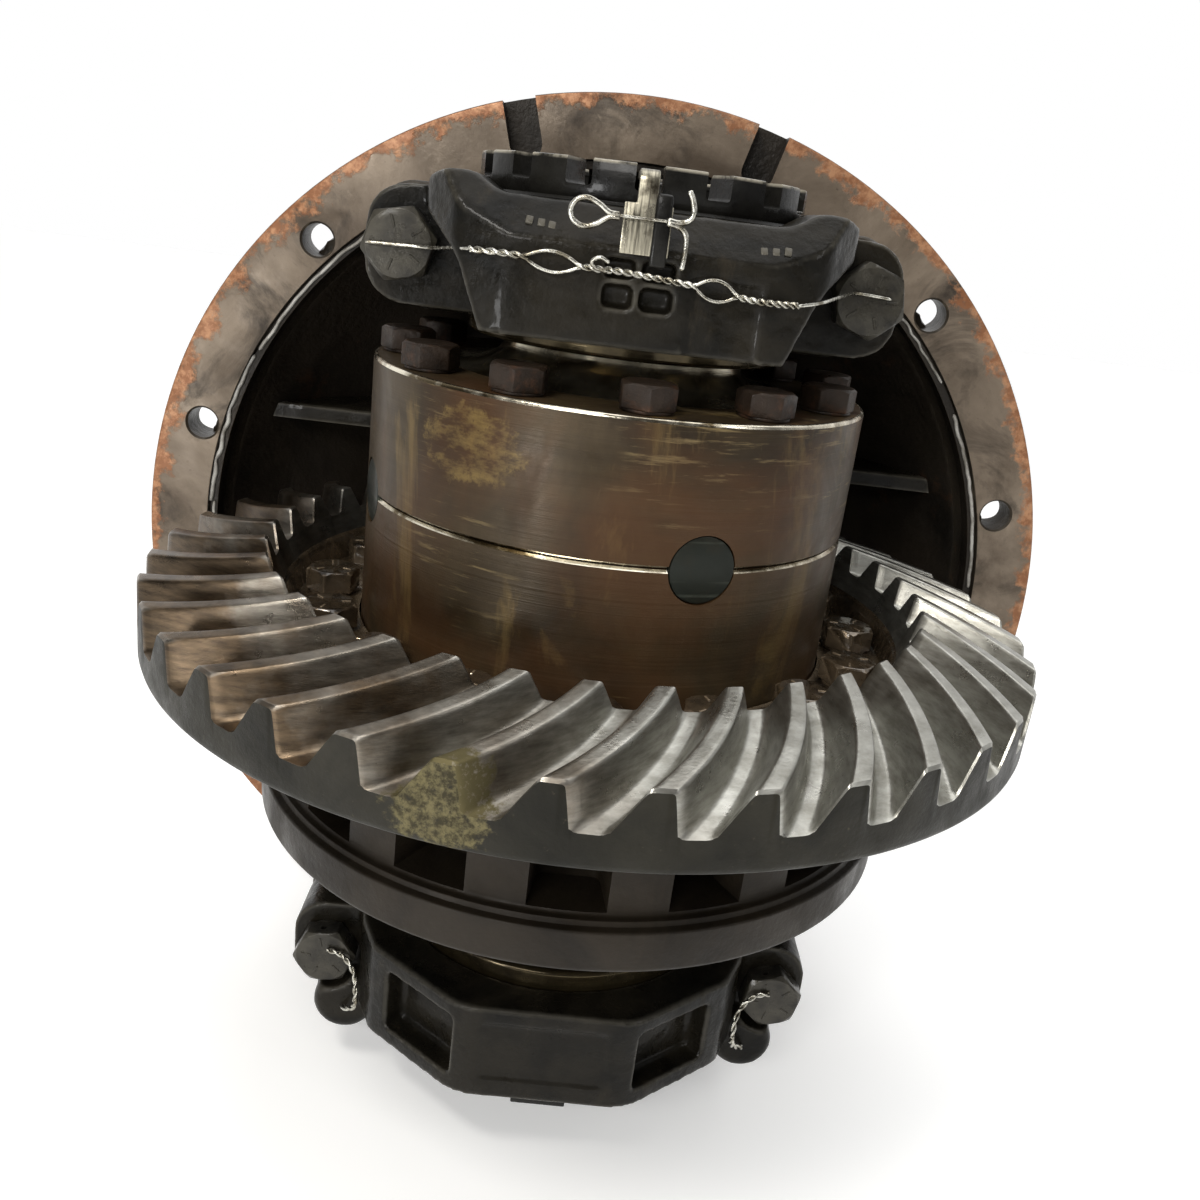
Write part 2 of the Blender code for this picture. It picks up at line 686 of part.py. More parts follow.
# ---------------------------------------------------------------- pinion end
def make_nose():
    end = NOSE_END_Y
    cage = lathe("cage", [
        (56, 240), (CAGE_BORE_R - 0.4, 240), (CAGE_BORE_R - 0.4, end + GAP), (104, end + GAP),
        (104, end + 13), (74, end + 15), (66, end + 34), (58, end + 36), (58, end + 28),
        (44, end + 26), (44, end + 16), (52, end + 14), (52, 252), (56, 250)], 24, (0, 0, 0), TO_Y)
    holes = []
    for k in range(6):
        angle = math.radians(30 + 60 * k)
        where = (88 * math.cos(angle), end, 88 * math.sin(angle))
        holes.append(rod("hole", 6.6, -5, 30, 8, where, TO_Y))
    cage = cut(cage, *holes)
    finish(cage, "pinion_bearing_cage", cast_grey)
    for k in range(6):
        angle = math.radians(30 + 60 * k)
        where = (88 * math.cos(angle), end, 88 * math.sin(angle))
        bolt = rod("head", 11.5, 15.6, 9.0, 6, where, TO_Y)
        bolt = join(bolt, rod("shank", 5.7, -18, 36, 6, where, TO_Y))
        finish(bolt, "cage_bolt_%d" % (k + 1), bolt_dark, False)
    cone = lathe("cone", [
        (29.4, 253), (44, 253), (51.5, 272), (51.5, 275.5), (29.4, 275.5)], 24, (0, 0, 0), TO_Y)
    finish(cone, "pinion_bearing_outer", bright_steel)
    cone = lathe("cone", [
        (34.4, 223), (50, 223), (55.4, 226.5), (55.4, 238), (34.4, 238)], 24, (0, 0, 0), TO_Y)
    finish(cone, "pinion_bearing_inner", bright_steel)
    seal = lathe("seal", [
        (39.0, 291), (57.1, 291), (57.1, 299.5), (39.0, 299.5), (41, 295)], 24, (0, 0, 0), TO_Y)
    finish(seal, "pinion_oil_seal", seal_rubber)
    yoke = lathe("yoke", [
        (29.4, 280), (38.2, 280), (38.2, 302), (43, 304), (48, 318), (76, 319), (76, 330),
        (34, 330), (34, 334), (24.5, 334), (24.7, 309), (29.7, 308)], 24, (0, 0, 0), TO_Y)
    holes = []
    for k in range(4):
        angle = math.radians(45 + 90 * k)
        where = (62 * math.cos(angle), 0, 62 * math.sin(angle))
        holes.append(rod("hole", 6.0, 310, 30, 12, where, TO_Y))
    yoke = cut(yoke, *holes)
    finish(yoke, "companion_flange", flange_paint)
    nut = rod("nut", 36, 334.4, 17, 6, (0, 0, 0), TO_Y)
    nut = cut(nut, rod("hole", 24.5, 330, 30, 24, (0, 0, 0), TO_Y))
    finish(nut, "pinion_nut", bolt_dark, False)


# ---------------------------------------------------------------- locks and wires
def wire(name, points, radius):
    curve = bpy.data.curves.new(name, "CURVE")
    curve.dimensions = "3D"
    curve.bevel_depth = radius * MM
    curve.bevel_resolution = 1
    curve.use_fill_caps = True
    spline = curve.splines.new("POLY")
    spline.points.add(len(points) - 1)
    for point, (x, y, z) in zip(spline.points, points):
        point.co = (x * MM, y * MM, z * MM, 1)
    obj = bake(put(name, curve))
    outward(obj.data)
    return finish(obj, name, wire_steel)


def make_locks():
    plate = block("plate", (-9, -97.5, 104), (9, -93.6, 134))
    plate = join(plate, block("tongue", (-4.6, -97.5, 128), (4.6, -60, 134)))
    finish(plate, "adjuster_lock_upper", bright_steel, False)
    plate = block("plate", (-13, -100, -286.3), (13, -84.6, -281.3))
    plate = join(plate, block("tongue", (-4.6, -90, -289.5), (4.6, -66, -283.6)))
    finish(plate, "adjuster_lock_lower", bright_steel, False)


make_ring_gear()
make_pinion()
make_side_gear("side_gear_upper", 1)
make_side_gear("side_gear_lower", -1)
for index in (1, 2, 3, 4):
    make_spider_pinion(index)
make_spider()
make_plain_half()
make_flange_half()
for index in range(1, CASE_BOLTS + 1):
    make_case_bolt(index)
make_bearing("upper", 45.0, 61.0, UP_R - GAP, 63.0, 99.0)
make_bearing("lower", 54.0, 72.0, LOW_R - GAP, -222.5, -258.0)
make_adjuster("upper", UP_R, 52.0, 99.4, 137.0, 137.0)
make_adjuster("lower", LOW_R, 62.0, -293.0, -258.4, -293.0)
make_cap_upper()
make_cap_lower()
make_cap_bolt("cap_bolt_upper_left", -UP_BOLT_X, -30, UP_BOLT_Z)
make_cap_bolt("cap_bolt_upper_right", UP_BOLT_X, -30, UP_BOLT_Z)
make_cap_bolt("cap_bolt_lower_left", -LOW_BOLT_X, -34, LOW_BOLT_Z)
make_cap_bolt("cap_bolt_lower_right", LOW_BOLT_X, -34, LOW_BOLT_Z)
make_housing()
make_nose()
make_locks()
wire("lock_wire_upper", [
    (-98, -45.5, 95.5), (-84, -62, 97), (-72, -90, 99), (-44, -96.5, 99), (-16, -96.5, 98.5),
    (-14, -101, 98.5), (14, -101, 97), (20, -96.5, 97), (46, -96.5, 95), (72, -88, 95.5),
    (84, -62, 96), (98, -45.5, 96)], 1.5)
wire("lock_wire_lower_left", [
    (-115, -49.5, -254), (-99.5, -50, -262), (-97, -61, -274), (-106, -40, -284.5)], 1.4)
wire("lock_wire_lower_right", [
    (115, -49.5, -254), (99.5, -50, -262), (97, -61, -274), (106, -40, -284.5)], 1.4)
wire("cotter_pin_upper", [
    (-23, -99, 112), (-27, -99, 116), (-25, -99, 121), (-19, -99, 121), (-12, -99.5, 117),
    (12, -99.5, 117), (14, -99.5, 121), (11, -99.5, 124)], 1.4)

for leftover in list(work.objects):
    bpy.data.objects.remove(leftover, do_unlink=True)
bpy.data.collections.remove(work)
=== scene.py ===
"""Looks of a heavy axle differential carrier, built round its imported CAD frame.

Pieces are modelled in millimetres from the crossing of the two gear axes: Z runs along the
axle shafts, and Y runs along the drive pinion, away from the axle housing.
"""
import json
import math

import bmesh
import bpy
from mathutils import Matrix, Vector, noise


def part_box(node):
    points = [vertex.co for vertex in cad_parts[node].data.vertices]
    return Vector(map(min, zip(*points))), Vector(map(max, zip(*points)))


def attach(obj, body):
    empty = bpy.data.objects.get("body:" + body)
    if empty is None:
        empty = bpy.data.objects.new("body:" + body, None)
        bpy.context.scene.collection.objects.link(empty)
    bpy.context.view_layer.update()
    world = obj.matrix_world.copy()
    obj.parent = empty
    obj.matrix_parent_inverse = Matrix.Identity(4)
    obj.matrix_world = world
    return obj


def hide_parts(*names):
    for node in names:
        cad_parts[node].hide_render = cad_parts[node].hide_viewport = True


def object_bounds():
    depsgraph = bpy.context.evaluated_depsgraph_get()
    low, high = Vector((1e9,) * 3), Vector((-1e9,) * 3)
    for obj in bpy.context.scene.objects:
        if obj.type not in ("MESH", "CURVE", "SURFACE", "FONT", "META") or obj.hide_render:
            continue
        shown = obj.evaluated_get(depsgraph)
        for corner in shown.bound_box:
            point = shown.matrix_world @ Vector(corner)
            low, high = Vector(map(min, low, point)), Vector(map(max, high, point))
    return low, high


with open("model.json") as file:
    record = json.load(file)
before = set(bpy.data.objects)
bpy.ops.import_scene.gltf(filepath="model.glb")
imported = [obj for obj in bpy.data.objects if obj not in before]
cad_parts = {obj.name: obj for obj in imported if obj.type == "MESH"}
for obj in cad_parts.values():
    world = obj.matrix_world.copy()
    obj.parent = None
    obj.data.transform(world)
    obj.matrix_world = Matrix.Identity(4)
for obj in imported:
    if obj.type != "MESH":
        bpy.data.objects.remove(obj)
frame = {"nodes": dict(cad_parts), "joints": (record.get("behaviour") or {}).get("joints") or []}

cad_low, cad_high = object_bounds()

MM = 0.001
JOINTS = {joint["name"]: joint for joint in frame["joints"]}
APEX = Vector(JOINTS["diff_spin"]["pos_m"])


def span(node, axis):
    """Lowest and highest coordinate of a CAD node along an axis, in mm from the apex."""
    low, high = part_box(node)
    return (low[axis] - APEX[axis]) / MM, (high[axis] - APEX[axis]) / MM


def reach(node, axis):
    """Greatest distance of a CAD node's points from the line through the apex along an axis."""
    others = [i for i in range(3) if i != axis]
    return max(
        math.hypot(*((v.co[i] - APEX[i]) / MM for i in others))
        for v in frame["nodes"][node].data.vertices)


# Sizes read from the frame
FLANGE_Y = -APEX.y / MM
FLANGE_Z = -APEX.z / MM
FLANGE_R = span("carrier_housing", 0)[1]
NOSE_END_Y = span("carrier_housing", 1)[1]
RING_R = reach("ring_gear", 2)
RING_BACK_Z = span("ring_gear", 2)[0]
CASE_R = reach("plain_case_half", 2)
CASE_NECK_Z = span("plain_case_half", 2)[1]
CASE_BOLT_TOP = span("case_bolt_01", 2)[1]
DISC_R = reach("flange_case_half", 2)
CASE_END_Z = span("flange_case_half", 2)[0]
SPIDER_Z = sum(span("spider_cross", 2)) / 2
UP_LOW_Z, UP_EAR_Z = span("bearing_cap_upper", 2)
UP_FRONT_Y = span("bearing_cap_upper", 1)[0]
UP_WIDE = span("bearing_cap_upper", 0)[1]
LOW_LOW_Z, LOW_TOP_Z = span("bearing_cap_lower", 2)
LOW_FRONT_Y = span("bearing_cap_lower", 1)[0]
LOW_WIDE = span("bearing_cap_lower", 0)[1]
ADJUST_TOP_Z = span("adjusting_ring_upper", 2)[1]
ADJUST_LOW_Z = span("adjusting_ring_lower", 2)[0]
UP_R = reach("adjusting_ring_upper", 2) + 0.3
LOW_R = reach("adjusting_ring_lower", 2) + 0.3
PINION_END_Y = span("drive_pinion", 1)[1]

# Sizes that repeat the part's design
FLANGE_T = 18.0
OPENING_R = 214.0
BOLT_CIRCLE_R = 229.0
FLANGE_HOLE_R = 8.3
CAGE_BORE_R = 68.0
RING_TEETH = 37
TOOTH_PITCH = 2 * math.pi / RING_TEETH
PINION_TEETH = 10
RING_CONE = math.atan2(RING_TEETH, PINION_TEETH)
PINION_CONE = math.pi / 2 - RING_CONE
HEEL_RHO = RING_R / math.sin(RING_CONE)
TOE_RHO = 161.0
RING_THICK = 13.0
PINION_THICK = 20.6
PRESSURE = math.radians(24.5)
RING_PHASE = math.radians(-42.45 - 90.0)
SPIRAL_A = -0.6775
SPIRAL_B = 0.0075
LEDGE_Z = -73.0
RING_BOLTS = 16
RING_BOLT_R = 129.0
SPIDER_ANGLE = math.radians(-70.0)
CASE_TOP_Z = 48.4
CASE_BOLTS = 12
CASE_BOLT_R = 98.0
TRUNNION_R = 14.0
AXLE_BORE_R = 31.0
WAIST_R = 148.0
DISC_TOP_Z = -143.5
DISC_LOW_Z = -168.5
UP_TOP_Z = 122.0
UP_BOLT_X = 99.0
UP_BOLT_Z = 96.0
UP_SEAT_Y = -30.0
LOW_BOLT_X = 116.0
LOW_BOLT_Z = -256.0
LOW_SEAT_Y = -34.0
CAP_HEX_R = 16.3
CAGE_BOLT_R = 88.0
WIRE_R = 0.75

def shift(x, y, z):
    return Matrix.Translation(Vector((x, y, z)) * MM)


def spin(angle, axis="Z"):
    return Matrix.Rotation(angle, 4, axis)


TURN_TO_Y = spin(-math.pi / 2, "X")


# ---------------------------------------------------------------- mesh helpers
def new_object(name, mesh):
    obj = bpy.data.objects.new(name, mesh)
    bpy.context.scene.collection.objects.link(obj)
    obj.location = APEX
    return obj


def from_bmesh(name, bm):
    mesh = bpy.data.meshes.new(name)
    bm.to_mesh(mesh)
    bm.free()
    return new_object(name, mesh)


def bake(obj):
    """Applies the object's modifiers."""
    bpy.context.view_layer.update()
    graph = bpy.context.evaluated_depsgraph_get()
    mesh = bpy.data.meshes.new_from_object(obj.evaluated_get(graph))
    obj.modifiers.clear()
    obj.data = mesh
    return obj


def outward(bm):
    """Turns the faces of a closed mesh to the outside."""
    if bm.calc_volume(signed=True) < 0:
        bmesh.ops.reverse_faces(bm, faces=bm.faces)


def rounded(corners, radius=1.0, steps=4):
    """Closed outline with its corners turned into arcs. A corner may give its own radius third."""
    outline = []
    count = len(corners)
    for i, corner in enumerate(corners):
        here = Vector(corner[:2])
        before = Vector(corners[i - 1][:2]) - here
        after = Vector(corners[(i + 1) % count][:2]) - here
        want = corner[2] if len(corner) > 2 else radius
        angle = before.angle(after)
        if want <= 0 or angle > math.radians(176):
            outline.append(tuple(here))
            continue
        trim = want / math.tan(angle / 2)
        trim = min(trim, 0.49 * before.length, 0.49 * after.length)
        want = trim * math.tan(angle / 2)
        middle = here + (before.normalized() + after.normalized()).normalized() * (
            want / math.sin(angle / 2))
        first = here + before.normalized() * trim - middle
        last = here + after.normalized() * trim - middle
        sweep = first.angle_signed(last)
        for k in range(steps + 1):
            turn = Matrix.Rotation(-sweep * k / steps, 2)
            outline.append(tuple(middle + turn @ first))
    return outline


def lathe(name, outline, steps=96, turn=None, centre=(0, 0, 0)):
    """Closed outline of (radius, height) turned about Z, or about Y when turn says so."""
    bm = bmesh.new()
    rings = []
    for k in range(steps):
        angle = 2 * math.pi * k / steps
        c = math.cos(angle) * MM
        s = math.sin(angle) * MM
        rings.append([bm.verts.new((r * c, r * s, z * MM)) for r, z in outline])
    count = len(outline)
    for k in range(steps):
        a = rings[k]
        b = rings[(k + 1) % steps]
        for i in range(count):
            j = (i + 1) % count
            bm.faces.new((a[i], a[j], b[j], b[i]))
    bmesh.ops.remove_doubles(bm, verts=bm.verts, dist=1e-6)
    if turn is not None:
        bmesh.ops.transform(bm, matrix=turn, verts=bm.verts)
    bmesh.ops.translate(bm, verts=bm.verts, vec=Vector(centre) * MM)
    outward(bm)
    return from_bmesh(name, bm)


def rod(name, radius, low, high, steps, turn=None, centre=(0, 0, 0)):
    """Solid cylinder."""
    return lathe(name, [(0, low), (radius, low), (radius, high), (0, high)], steps, turn, centre)


def prism(name, outline, low, high, turn=None, centre=(0, 0, 0)):
    """Outline in the XY plane, extruded from height low to height high."""
    bm = bmesh.new()
    face = bm.faces.new([bm.verts.new((x * MM, y * MM, low * MM)) for x, y in outline])
    grown = bmesh.ops.extrude_face_region(bm, geom=[face])
    moved = [v for v in grown["geom"] if isinstance(v, bmesh.types.BMVert)]
    bmesh.ops.translate(bm, verts=moved, vec=(0, 0, (high - low) * MM))
    bmesh.ops.recalc_face_normals(bm, faces=bm.faces)
    if turn is not None:
        bmesh.ops.transform(bm, matrix=turn, verts=bm.verts)
    bmesh.ops.translate(bm, verts=bm.verts, vec=Vector(centre) * MM)
    outward(bm)
    return from_bmesh(name, bm)


def box(name, low, high, turn=None, centre=(0, 0, 0)):
    """Block between two opposite corners."""
    (x0, y0, z0), (x1, y1, z1) = low, high
    return prism(name, [(x0, y0), (x1, y0), (x1, y1), (x0, y1)], z0, z1, turn, centre)


def circle(radius, count):
    return [(radius * math.cos(2 * math.pi * k / count), radius * math.sin(2 * math.pi * k / count))
            for k in range(count)]


def about_z(radius, angle, height):
    return radius * math.cos(angle), radius * math.sin(angle), height


def about_y(radius, angle, y):
    return radius * math.cos(angle), y, radius * math.sin(angle)


def merge(name, objects):
    """One object from several, without joining their surfaces."""
    bm = bmesh.new()
    for obj in objects:
        bm.from_mesh(obj.data)
        bpy.data.objects.remove(obj, do_unlink=True)
    return from_bmesh(name, bm)


def boolean(obj, others, operation):
    for other in others:
        step = obj.modifiers.new("Boolean", "BOOLEAN")
        step.solver = "EXACT"
        step.operation = operation
        step.object = other
        bake(obj)
        bpy.data.objects.remove(other, do_unlink=True)
    return obj


def cut(obj, *others):
    return boolean(obj, others, "DIFFERENCE")


def join(obj, *others):
    return boolean(obj, others, "UNION")


def keep(obj, *others):
    return boolean(obj, others, "INTERSECT")


def bevel(obj, width, segments=2):
    step = obj.modifiers.new("Bevel", "BEVEL")
    step.width = width * MM
    step.segments = segments
    step.limit_method = "ANGLE"
    step.angle_limit = math.radians(35)
    return bake(obj)


def cast(obj, voxel, rounds, wave=0.0, grain=9.0):
    """Turns a crisp solid into a casting: one skin, soft edges and a slightly uneven surface."""
    step = obj.modifiers.new("Remesh", "REMESH")
    step.mode = "VOXEL"
    step.voxel_size = voxel * MM
    soft = obj.modifiers.new("Smooth", "SMOOTH")
    soft.factor = 0.5
    soft.iterations = rounds
    bake(obj)
    if wave:
        moved = []
        for point, normal in [(v.co.copy(), v.normal.copy()) for v in obj.data.vertices]:
            lift = noise.noise(point / (grain * MM)) + 0.5 * noise.noise(point / (grain * MM / 3))
            moved.extend(point + normal * lift * wave * MM)
        obj.data.vertices.foreach_set("co", moved)
        obj.data.update()
    return obj


def rings_to_object(name, rings, closed=False):
    """Skin over a sequence of equal rings of points; closed joins the last to the first."""
    bm = bmesh.new()
    rows = [[bm.verts.new(Vector(p) * MM) for p in ring] for ring in rings]
    pairs = list(zip(rows, rows[1:]))
    if closed:
        pairs.append((rows[-1], rows[0]))
    count = len(rings[0])
    for a, b in pairs:
        for i in range(count):
            j = (i + 1) % count
            bm.faces.new((a[i], a[j], b[j], b[i]))
    if not closed:
        bm.faces.new(list(reversed(rows[0])))
        bm.faces.new(rows[-1])
    outward(bm)
    return from_bmesh(name, bm)


def through(points, parts):
    """Smooth curve through points of any dimension."""
    found = []
    for i in range(len(points) - 1):
        four = [points[max(i - 1, 0)], points[i], points[i + 1],
                points[min(i + 2, len(points) - 1)]]
        for k in range(parts):
            t = k / parts
            found.append(tuple(
                0.5 * (2 * b + (c - a) * t + (2 * a - 5 * b + 4 * c - d) * t * t
                       + (3 * b - a - 3 * c + d) * t ** 3)
                for a, b, c, d in zip(*four)))
    found.append(tuple(points[-1]))
    return found


def strand(name, points, radius, sides=8):
    """Round wire along points, with domed ends."""
    points = [Vector(p) for p in points]
    rings = []
    side = Vector((0.3, 0.2, 1.0))
    for i, point in enumerate(points):
        ahead = (points[min(i + 1, len(points) - 1)] - points[max(i - 1, 0)]).normalized()
        side = (side - ahead * side.dot(ahead)).normalized()
        across = ahead.cross(side)
        share = 0.45 if i in (0, len(points) - 1) else 1.0
        rings.append([
            point + radius * share * (side * math.cos(a) + across * math.sin(a))
            for a in (2 * math.pi * k / sides for k in range(sides))])
    return rings_to_object(name, rings)


# ---------------------------------------------------------------- material helpers
def tone(red, green, blue):
    """Scene colour of a display colour given from 0 to 255."""
    return tuple(
        (c / 255 / 12.92) if c < 10.3 else ((c / 255 + 0.055) / 1.055) ** 2.4
        for c in (red, green, blue)) + (1.0,)


class Look:
    """Builder of one node material in the object's own coordinates.

    Colours are display colours from 0 to 255, or sockets. Noise is given by its scale per
    metre, its detail and its roughness.
    """

    def __init__(self, name, metallic=1.0, specular=0.5, coat=0.0, coat_rough=0.03):
        self.material = bpy.data.materials.new(name)
        self.material.use_nodes = True
        self.tree = self.material.node_tree
        self.shader = self.tree.nodes["Principled BSDF"]
        plain = {"Metallic": metallic, "Specular IOR Level": specular, "Coat Weight": coat,
                 "Coat Roughness": coat_rough}
        for key, value in plain.items():
            self.shader.inputs[key].default_value = value
        self.place = self.node("TexCoord").outputs["Object"]
        self.normal = None
        self.colour = None

    def feed(self, socket, value):
        if isinstance(value, bpy.types.NodeSocket):
            self.tree.links.new(value, socket)
        else:
            socket.default_value = value

    def node(self, kind, values=None, **settings):
        made = self.tree.nodes.new("ShaderNode" + kind)
        for key, value in settings.items():
            setattr(made, key, value)
        for key, value in (values or {}).items():
            self.feed(made.inputs[key], value)
        return made

    def math(self, operation, a, b):
        return self.node("Math", {0: a, 1: b}, operation=operation).outputs[0]

    def vector(self, operation, a, b=(0, 0, 0)):
        return self.node("VectorMath", {0: a, 1: b}, operation=operation)

    def length(self, vector):
        return self.vector("LENGTH", vector).outputs["Value"]

    def stretched(self, factors):
        return self.vector("MULTIPLY", self.place, factors).outputs[0]

    def noise(self, scale, detail, rough, stretch=None, warp=0.0, where=None):
        vector = where or (self.stretched(stretch) if stretch else self.place)
        values = {"Vector": vector, "Scale": scale, "Detail": detail, "Roughness": rough,
                  "Distortion": warp}
        return self.node("TexNoise", values).outputs[0]

    def spread(self, value, low, high, first=0.0, last=1.0):
        """Runs from first to last while the value runs from low to high."""
        values = {"Value": value, "From Min": low, "From Max": high, "To Min": first,
                  "To Max": last}
        return self.node("MapRange", values, clamp=True).outputs[0]

    def patches(self, noise, low, high, first=0.0, last=1.0, **shape):
        return self.spread(self.noise(*noise, **shape), low, high, first, last)

    def blend(self, share, a, b):
        a, b = (tone(*c) if isinstance(c, tuple) else c for c in (a, b))
        return self.node("Mix", {0: share, 6: a, 7: b}, data_type="RGBA").outputs[2]

    def base(self, share, a, b):
        self.colour = self.blend(share, a, b)

    def over(self, share, colour, amount=None):
        """Lays a colour over the one so far, as strongly as share times amount."""
        if amount is not None:
            share = self.math("MULTIPLY", share, amount)
        self.colour = self.blend(share, self.colour, colour)

    def axis(self, letter):
        return self.node("SeparateXYZ", {0: self.place}).outputs[letter]

    def radial(self, along="Z"):
        """(distance from an axis, 0, height along it), for turned surfaces."""
        out = self.length(self.stretched({"Z": (1, 1, 0), "Y": (1, 0, 1)}[along]))
        return self.node("CombineXYZ", {0: out, 2: self.axis(along)}).outputs[0]

    def edges(self, low, high):
        """1 on convex edges, 0 elsewhere."""
        return self.spread(self.node("NewGeometry").outputs["Pointiness"], low, high)

    def emboss(self, height, distance, strength):
        values = {"Height": height, "Distance": distance, "Strength": strength}
        if self.normal:
            values["Normal"] = self.normal
        self.normal = self.node("Bump", values).outputs[0]

    def bumps(self, *rows):
        """Rows of noise, depth in metres and strength."""
        for noise_shape, distance, strength in rows:
            self.emboss(self.noise(*noise_shape), distance, strength)

    def finish(self, roughness):
        self.feed(self.shader.inputs["Base Color"], self.colour)
        self.feed(self.shader.inputs["Roughness"], roughness)
        if self.normal:
            self.tree.links.new(self.normal, self.shader.inputs["Normal"])
        return self.material


def flange_radius(look):
    """Distance from the housing flange's own axis."""
    away = look.vector("ADD", look.place, (0, 0, -FLANGE_Z * MM)).outputs[0]
    return look.length(look.vector("MULTIPLY", away, (1, 0, 1)).outputs[0])


def paint_mask(look, centre, size):
    """Share of brushed-on paint: a patch with a ragged outline and thin spots."""
    away = look.vector("SUBTRACT", look.place, Vector(centre) * MM).outputs[0]
    far = look.length(look.vector("DIVIDE", away, size).outputs[0])
    ragged = look.math("ADD", far, look.patches((150.0, 8.0, 0.7), 0.3, 0.7, -0.28, 0.28))
    patch = look.spread(ragged, 0.86, 1.02, 1.0, 0.0)
    return look.math("MULTIPLY", patch, look.patches((420.0, 6.0, 0.7), 0.3, 0.46))


# ---------------------------------------------------------------- materials
PAINT_AT = about_z(RING_R, RING_PHASE + 3 * TOOTH_PITCH, -66.0)
PAINT_SIZE = (0.021, 0.013, 0.021)
BURNISH_AT = about_z(CASE_R, math.radians(-121), 27.0)
BURNISH_SIZE = (0.026, 0.02, 0.016)
VARNISH_WAY = (-6.4, -2.6, 0.0)

# Machined gasket face: brown-grey, stained by oil, with rust towards the rim
look = Look("flange_face", 0.25, 0.3)
look.base(look.patches((12.0, 7.0, 0.62), 0.38, 0.64, warp=0.8), (130, 117, 102), (80, 69, 57))
look.over(look.patches((17.0, 8.0, 0.65), 0.52, 0.66, warp=1.2), (36, 30, 24), 0.85)
look.over(look.patches((420.0, 8.0, 0.7), 0.6, 0.72), (52, 40, 30), 0.6)
ragged = look.patches((70.0, 9.0, 0.7), 0.3, 0.7, -0.009, 0.009)
ragged = look.math("ADD", flange_radius(look), ragged)
rust = look.spread(ragged, FLANGE_R * MM - 0.0075, FLANGE_R * MM - 0.003)
crust = look.blend(look.patches((190.0, 8.0, 0.7), 0.44, 0.6), (134, 86, 54), (178, 130, 94))
look.over(rust, crust, 0.85)
look.over(look.patches((22.0, 6.0, 0.7), 0.63, 0.72, warp=1.5), (150, 138, 122), 0.4)
look.bumps(((300.0, 6.0, 0.6), 0.0006, 0.35))
look.emboss(rust, 0.0006, 0.4)
flange_face = look.finish(look.patches((30.0, 6.0, 0.6), 0.4, 0.68, 0.34, 0.66, warp=1.2))

# Outer edge of the flange: orange and copper rust over dark iron
look = Look("flange_rim", 0.35)
patches = look.patches((38.0, 8.0, 0.65), 0.4, 0.62)
look.base(patches, (56, 44, 34), (126, 80, 50))
look.over(look.patches((90.0, 8.0, 0.7), 0.58, 0.7), (172, 124, 88))
look.bumps(((240.0, 8.0, 0.7), 0.0012, 0.6))
flange_rim = look.finish(look.spread(patches, 0.0, 1.0, 0.45, 0.72))

# Rough casting of the bell, wet with old gear oil
look = Look("cast_iron_oily", 0.15, 0.25)
look.base(look.patches((12.0, 6.0, 0.6), 0.38, 0.66, warp=0.5), (48, 42, 35), (24, 21, 17))
look.over(look.patches((24.0, 9.0, 0.7), 0.6, 0.74), (84, 56, 36), 0.5)
look.over(look.edges(0.52, 0.62), (84, 76, 64))
look.bumps(((320.0, 4.0, 0.6), 0.0011, 0.5), ((60.0, 3.0, 0.5), 0.0016, 0.4))
cast_iron = look.finish(look.patches((18.0, 5.0, 0.6), 0.35, 0.65, 0.3, 0.62))

# Bearing caps: near-black casting under a wet oil film
look = Look("cap_oiled", 0.0, 0.1, 0.1, 0.08)
look.base(look.patches((22.0, 6.0, 0.6), 0.4, 0.64, warp=0.8), (31, 28, 22), (12, 11, 8))
# Convex edges lightened: edge wear and painted highlight
look.over(look.edges(0.515, 0.6), (112, 108, 98), 0.7)
look.over(look.patches((60.0, 7.0, 0.7), 0.6, 0.7, stretch=(1, 1, 0.3)), (52, 46, 36), 0.4)
look.bumps(((420.0, 4.0, 0.6), 0.0008, 0.4), ((95.0, 3.0, 0.5), 0.0015, 0.35))
cap_black = look.finish(look.patches((40.0, 6.0, 0.65), 0.38, 0.64, 0.2, 0.52, warp=1.0))

# Cap bolts: dark oiled steel
look = Look("bolt_oiled", 0.4, 0.3, 0.2, 0.12)
look.base(look.patches((70.0, 6.0, 0.6), 0.4, 0.65), (62, 59, 51), (28, 26, 23))
look.bumps(((700.0, 5.0, 0.6), 0.0004, 0.4), ((150.0, 3.0, 0.5), 0.0006, 0.3))
bolt_steel = look.finish(look.patches((120.0, 6.0, 0.6), 0.35, 0.65, 0.22, 0.5))

# Case bolts: brown from heat and rust
look = Look("bolt_rusty", 0.2, 0.25)
look.base(look.patches((60.0, 7.0, 0.65), 0.38, 0.66, warp=0.6), (44, 34, 26), (24, 18, 13))
look.over(look.patches((130.0, 8.0, 0.7), 0.54, 0.7), (70, 46, 30), 0.7)
look.bumps(((620.0, 6.0, 0.65), 0.0006, 0.5))
bolt_rust = look.finish(look.patches((90.0, 6.0, 0.6), 0.35, 0.65, 0.26, 0.58))

# Turned steel of the case: fine lathe lines, bronze-brown oil, pale streaks and scratches
look = Look("case_turned", 0.3, 0.3)
around = look.radial()
lines = look.noise(900.0, 3.0, 0.6, where=around)
wide = look.noise(120.0, 4.0, 0.7, where=around)
look.base(look.patches((13.0, 6.0, 0.6), 0.38, 0.64, warp=1.0, stretch=(1, 1, 0.8)),
          (64, 53, 36), (40, 31, 20))
look.over(look.spread(wide, 0.4, 0.62), (42, 33, 21), 0.4)
run = look.patches((30.0, 7.0, 0.65), 0.58, 0.68, warp=0.6, stretch=(1.0, 1.0, 0.28))
look.over(run, (128, 106, 64), 0.4)
scratches = look.patches((16.0, 8.0, 0.7), 0.56, 0.66, stretch=(2.0, 2.0, 26.0))
scratches = look.math("MULTIPLY", scratches, look.patches((11.0, 4.0, 0.6), 0.48, 0.6))
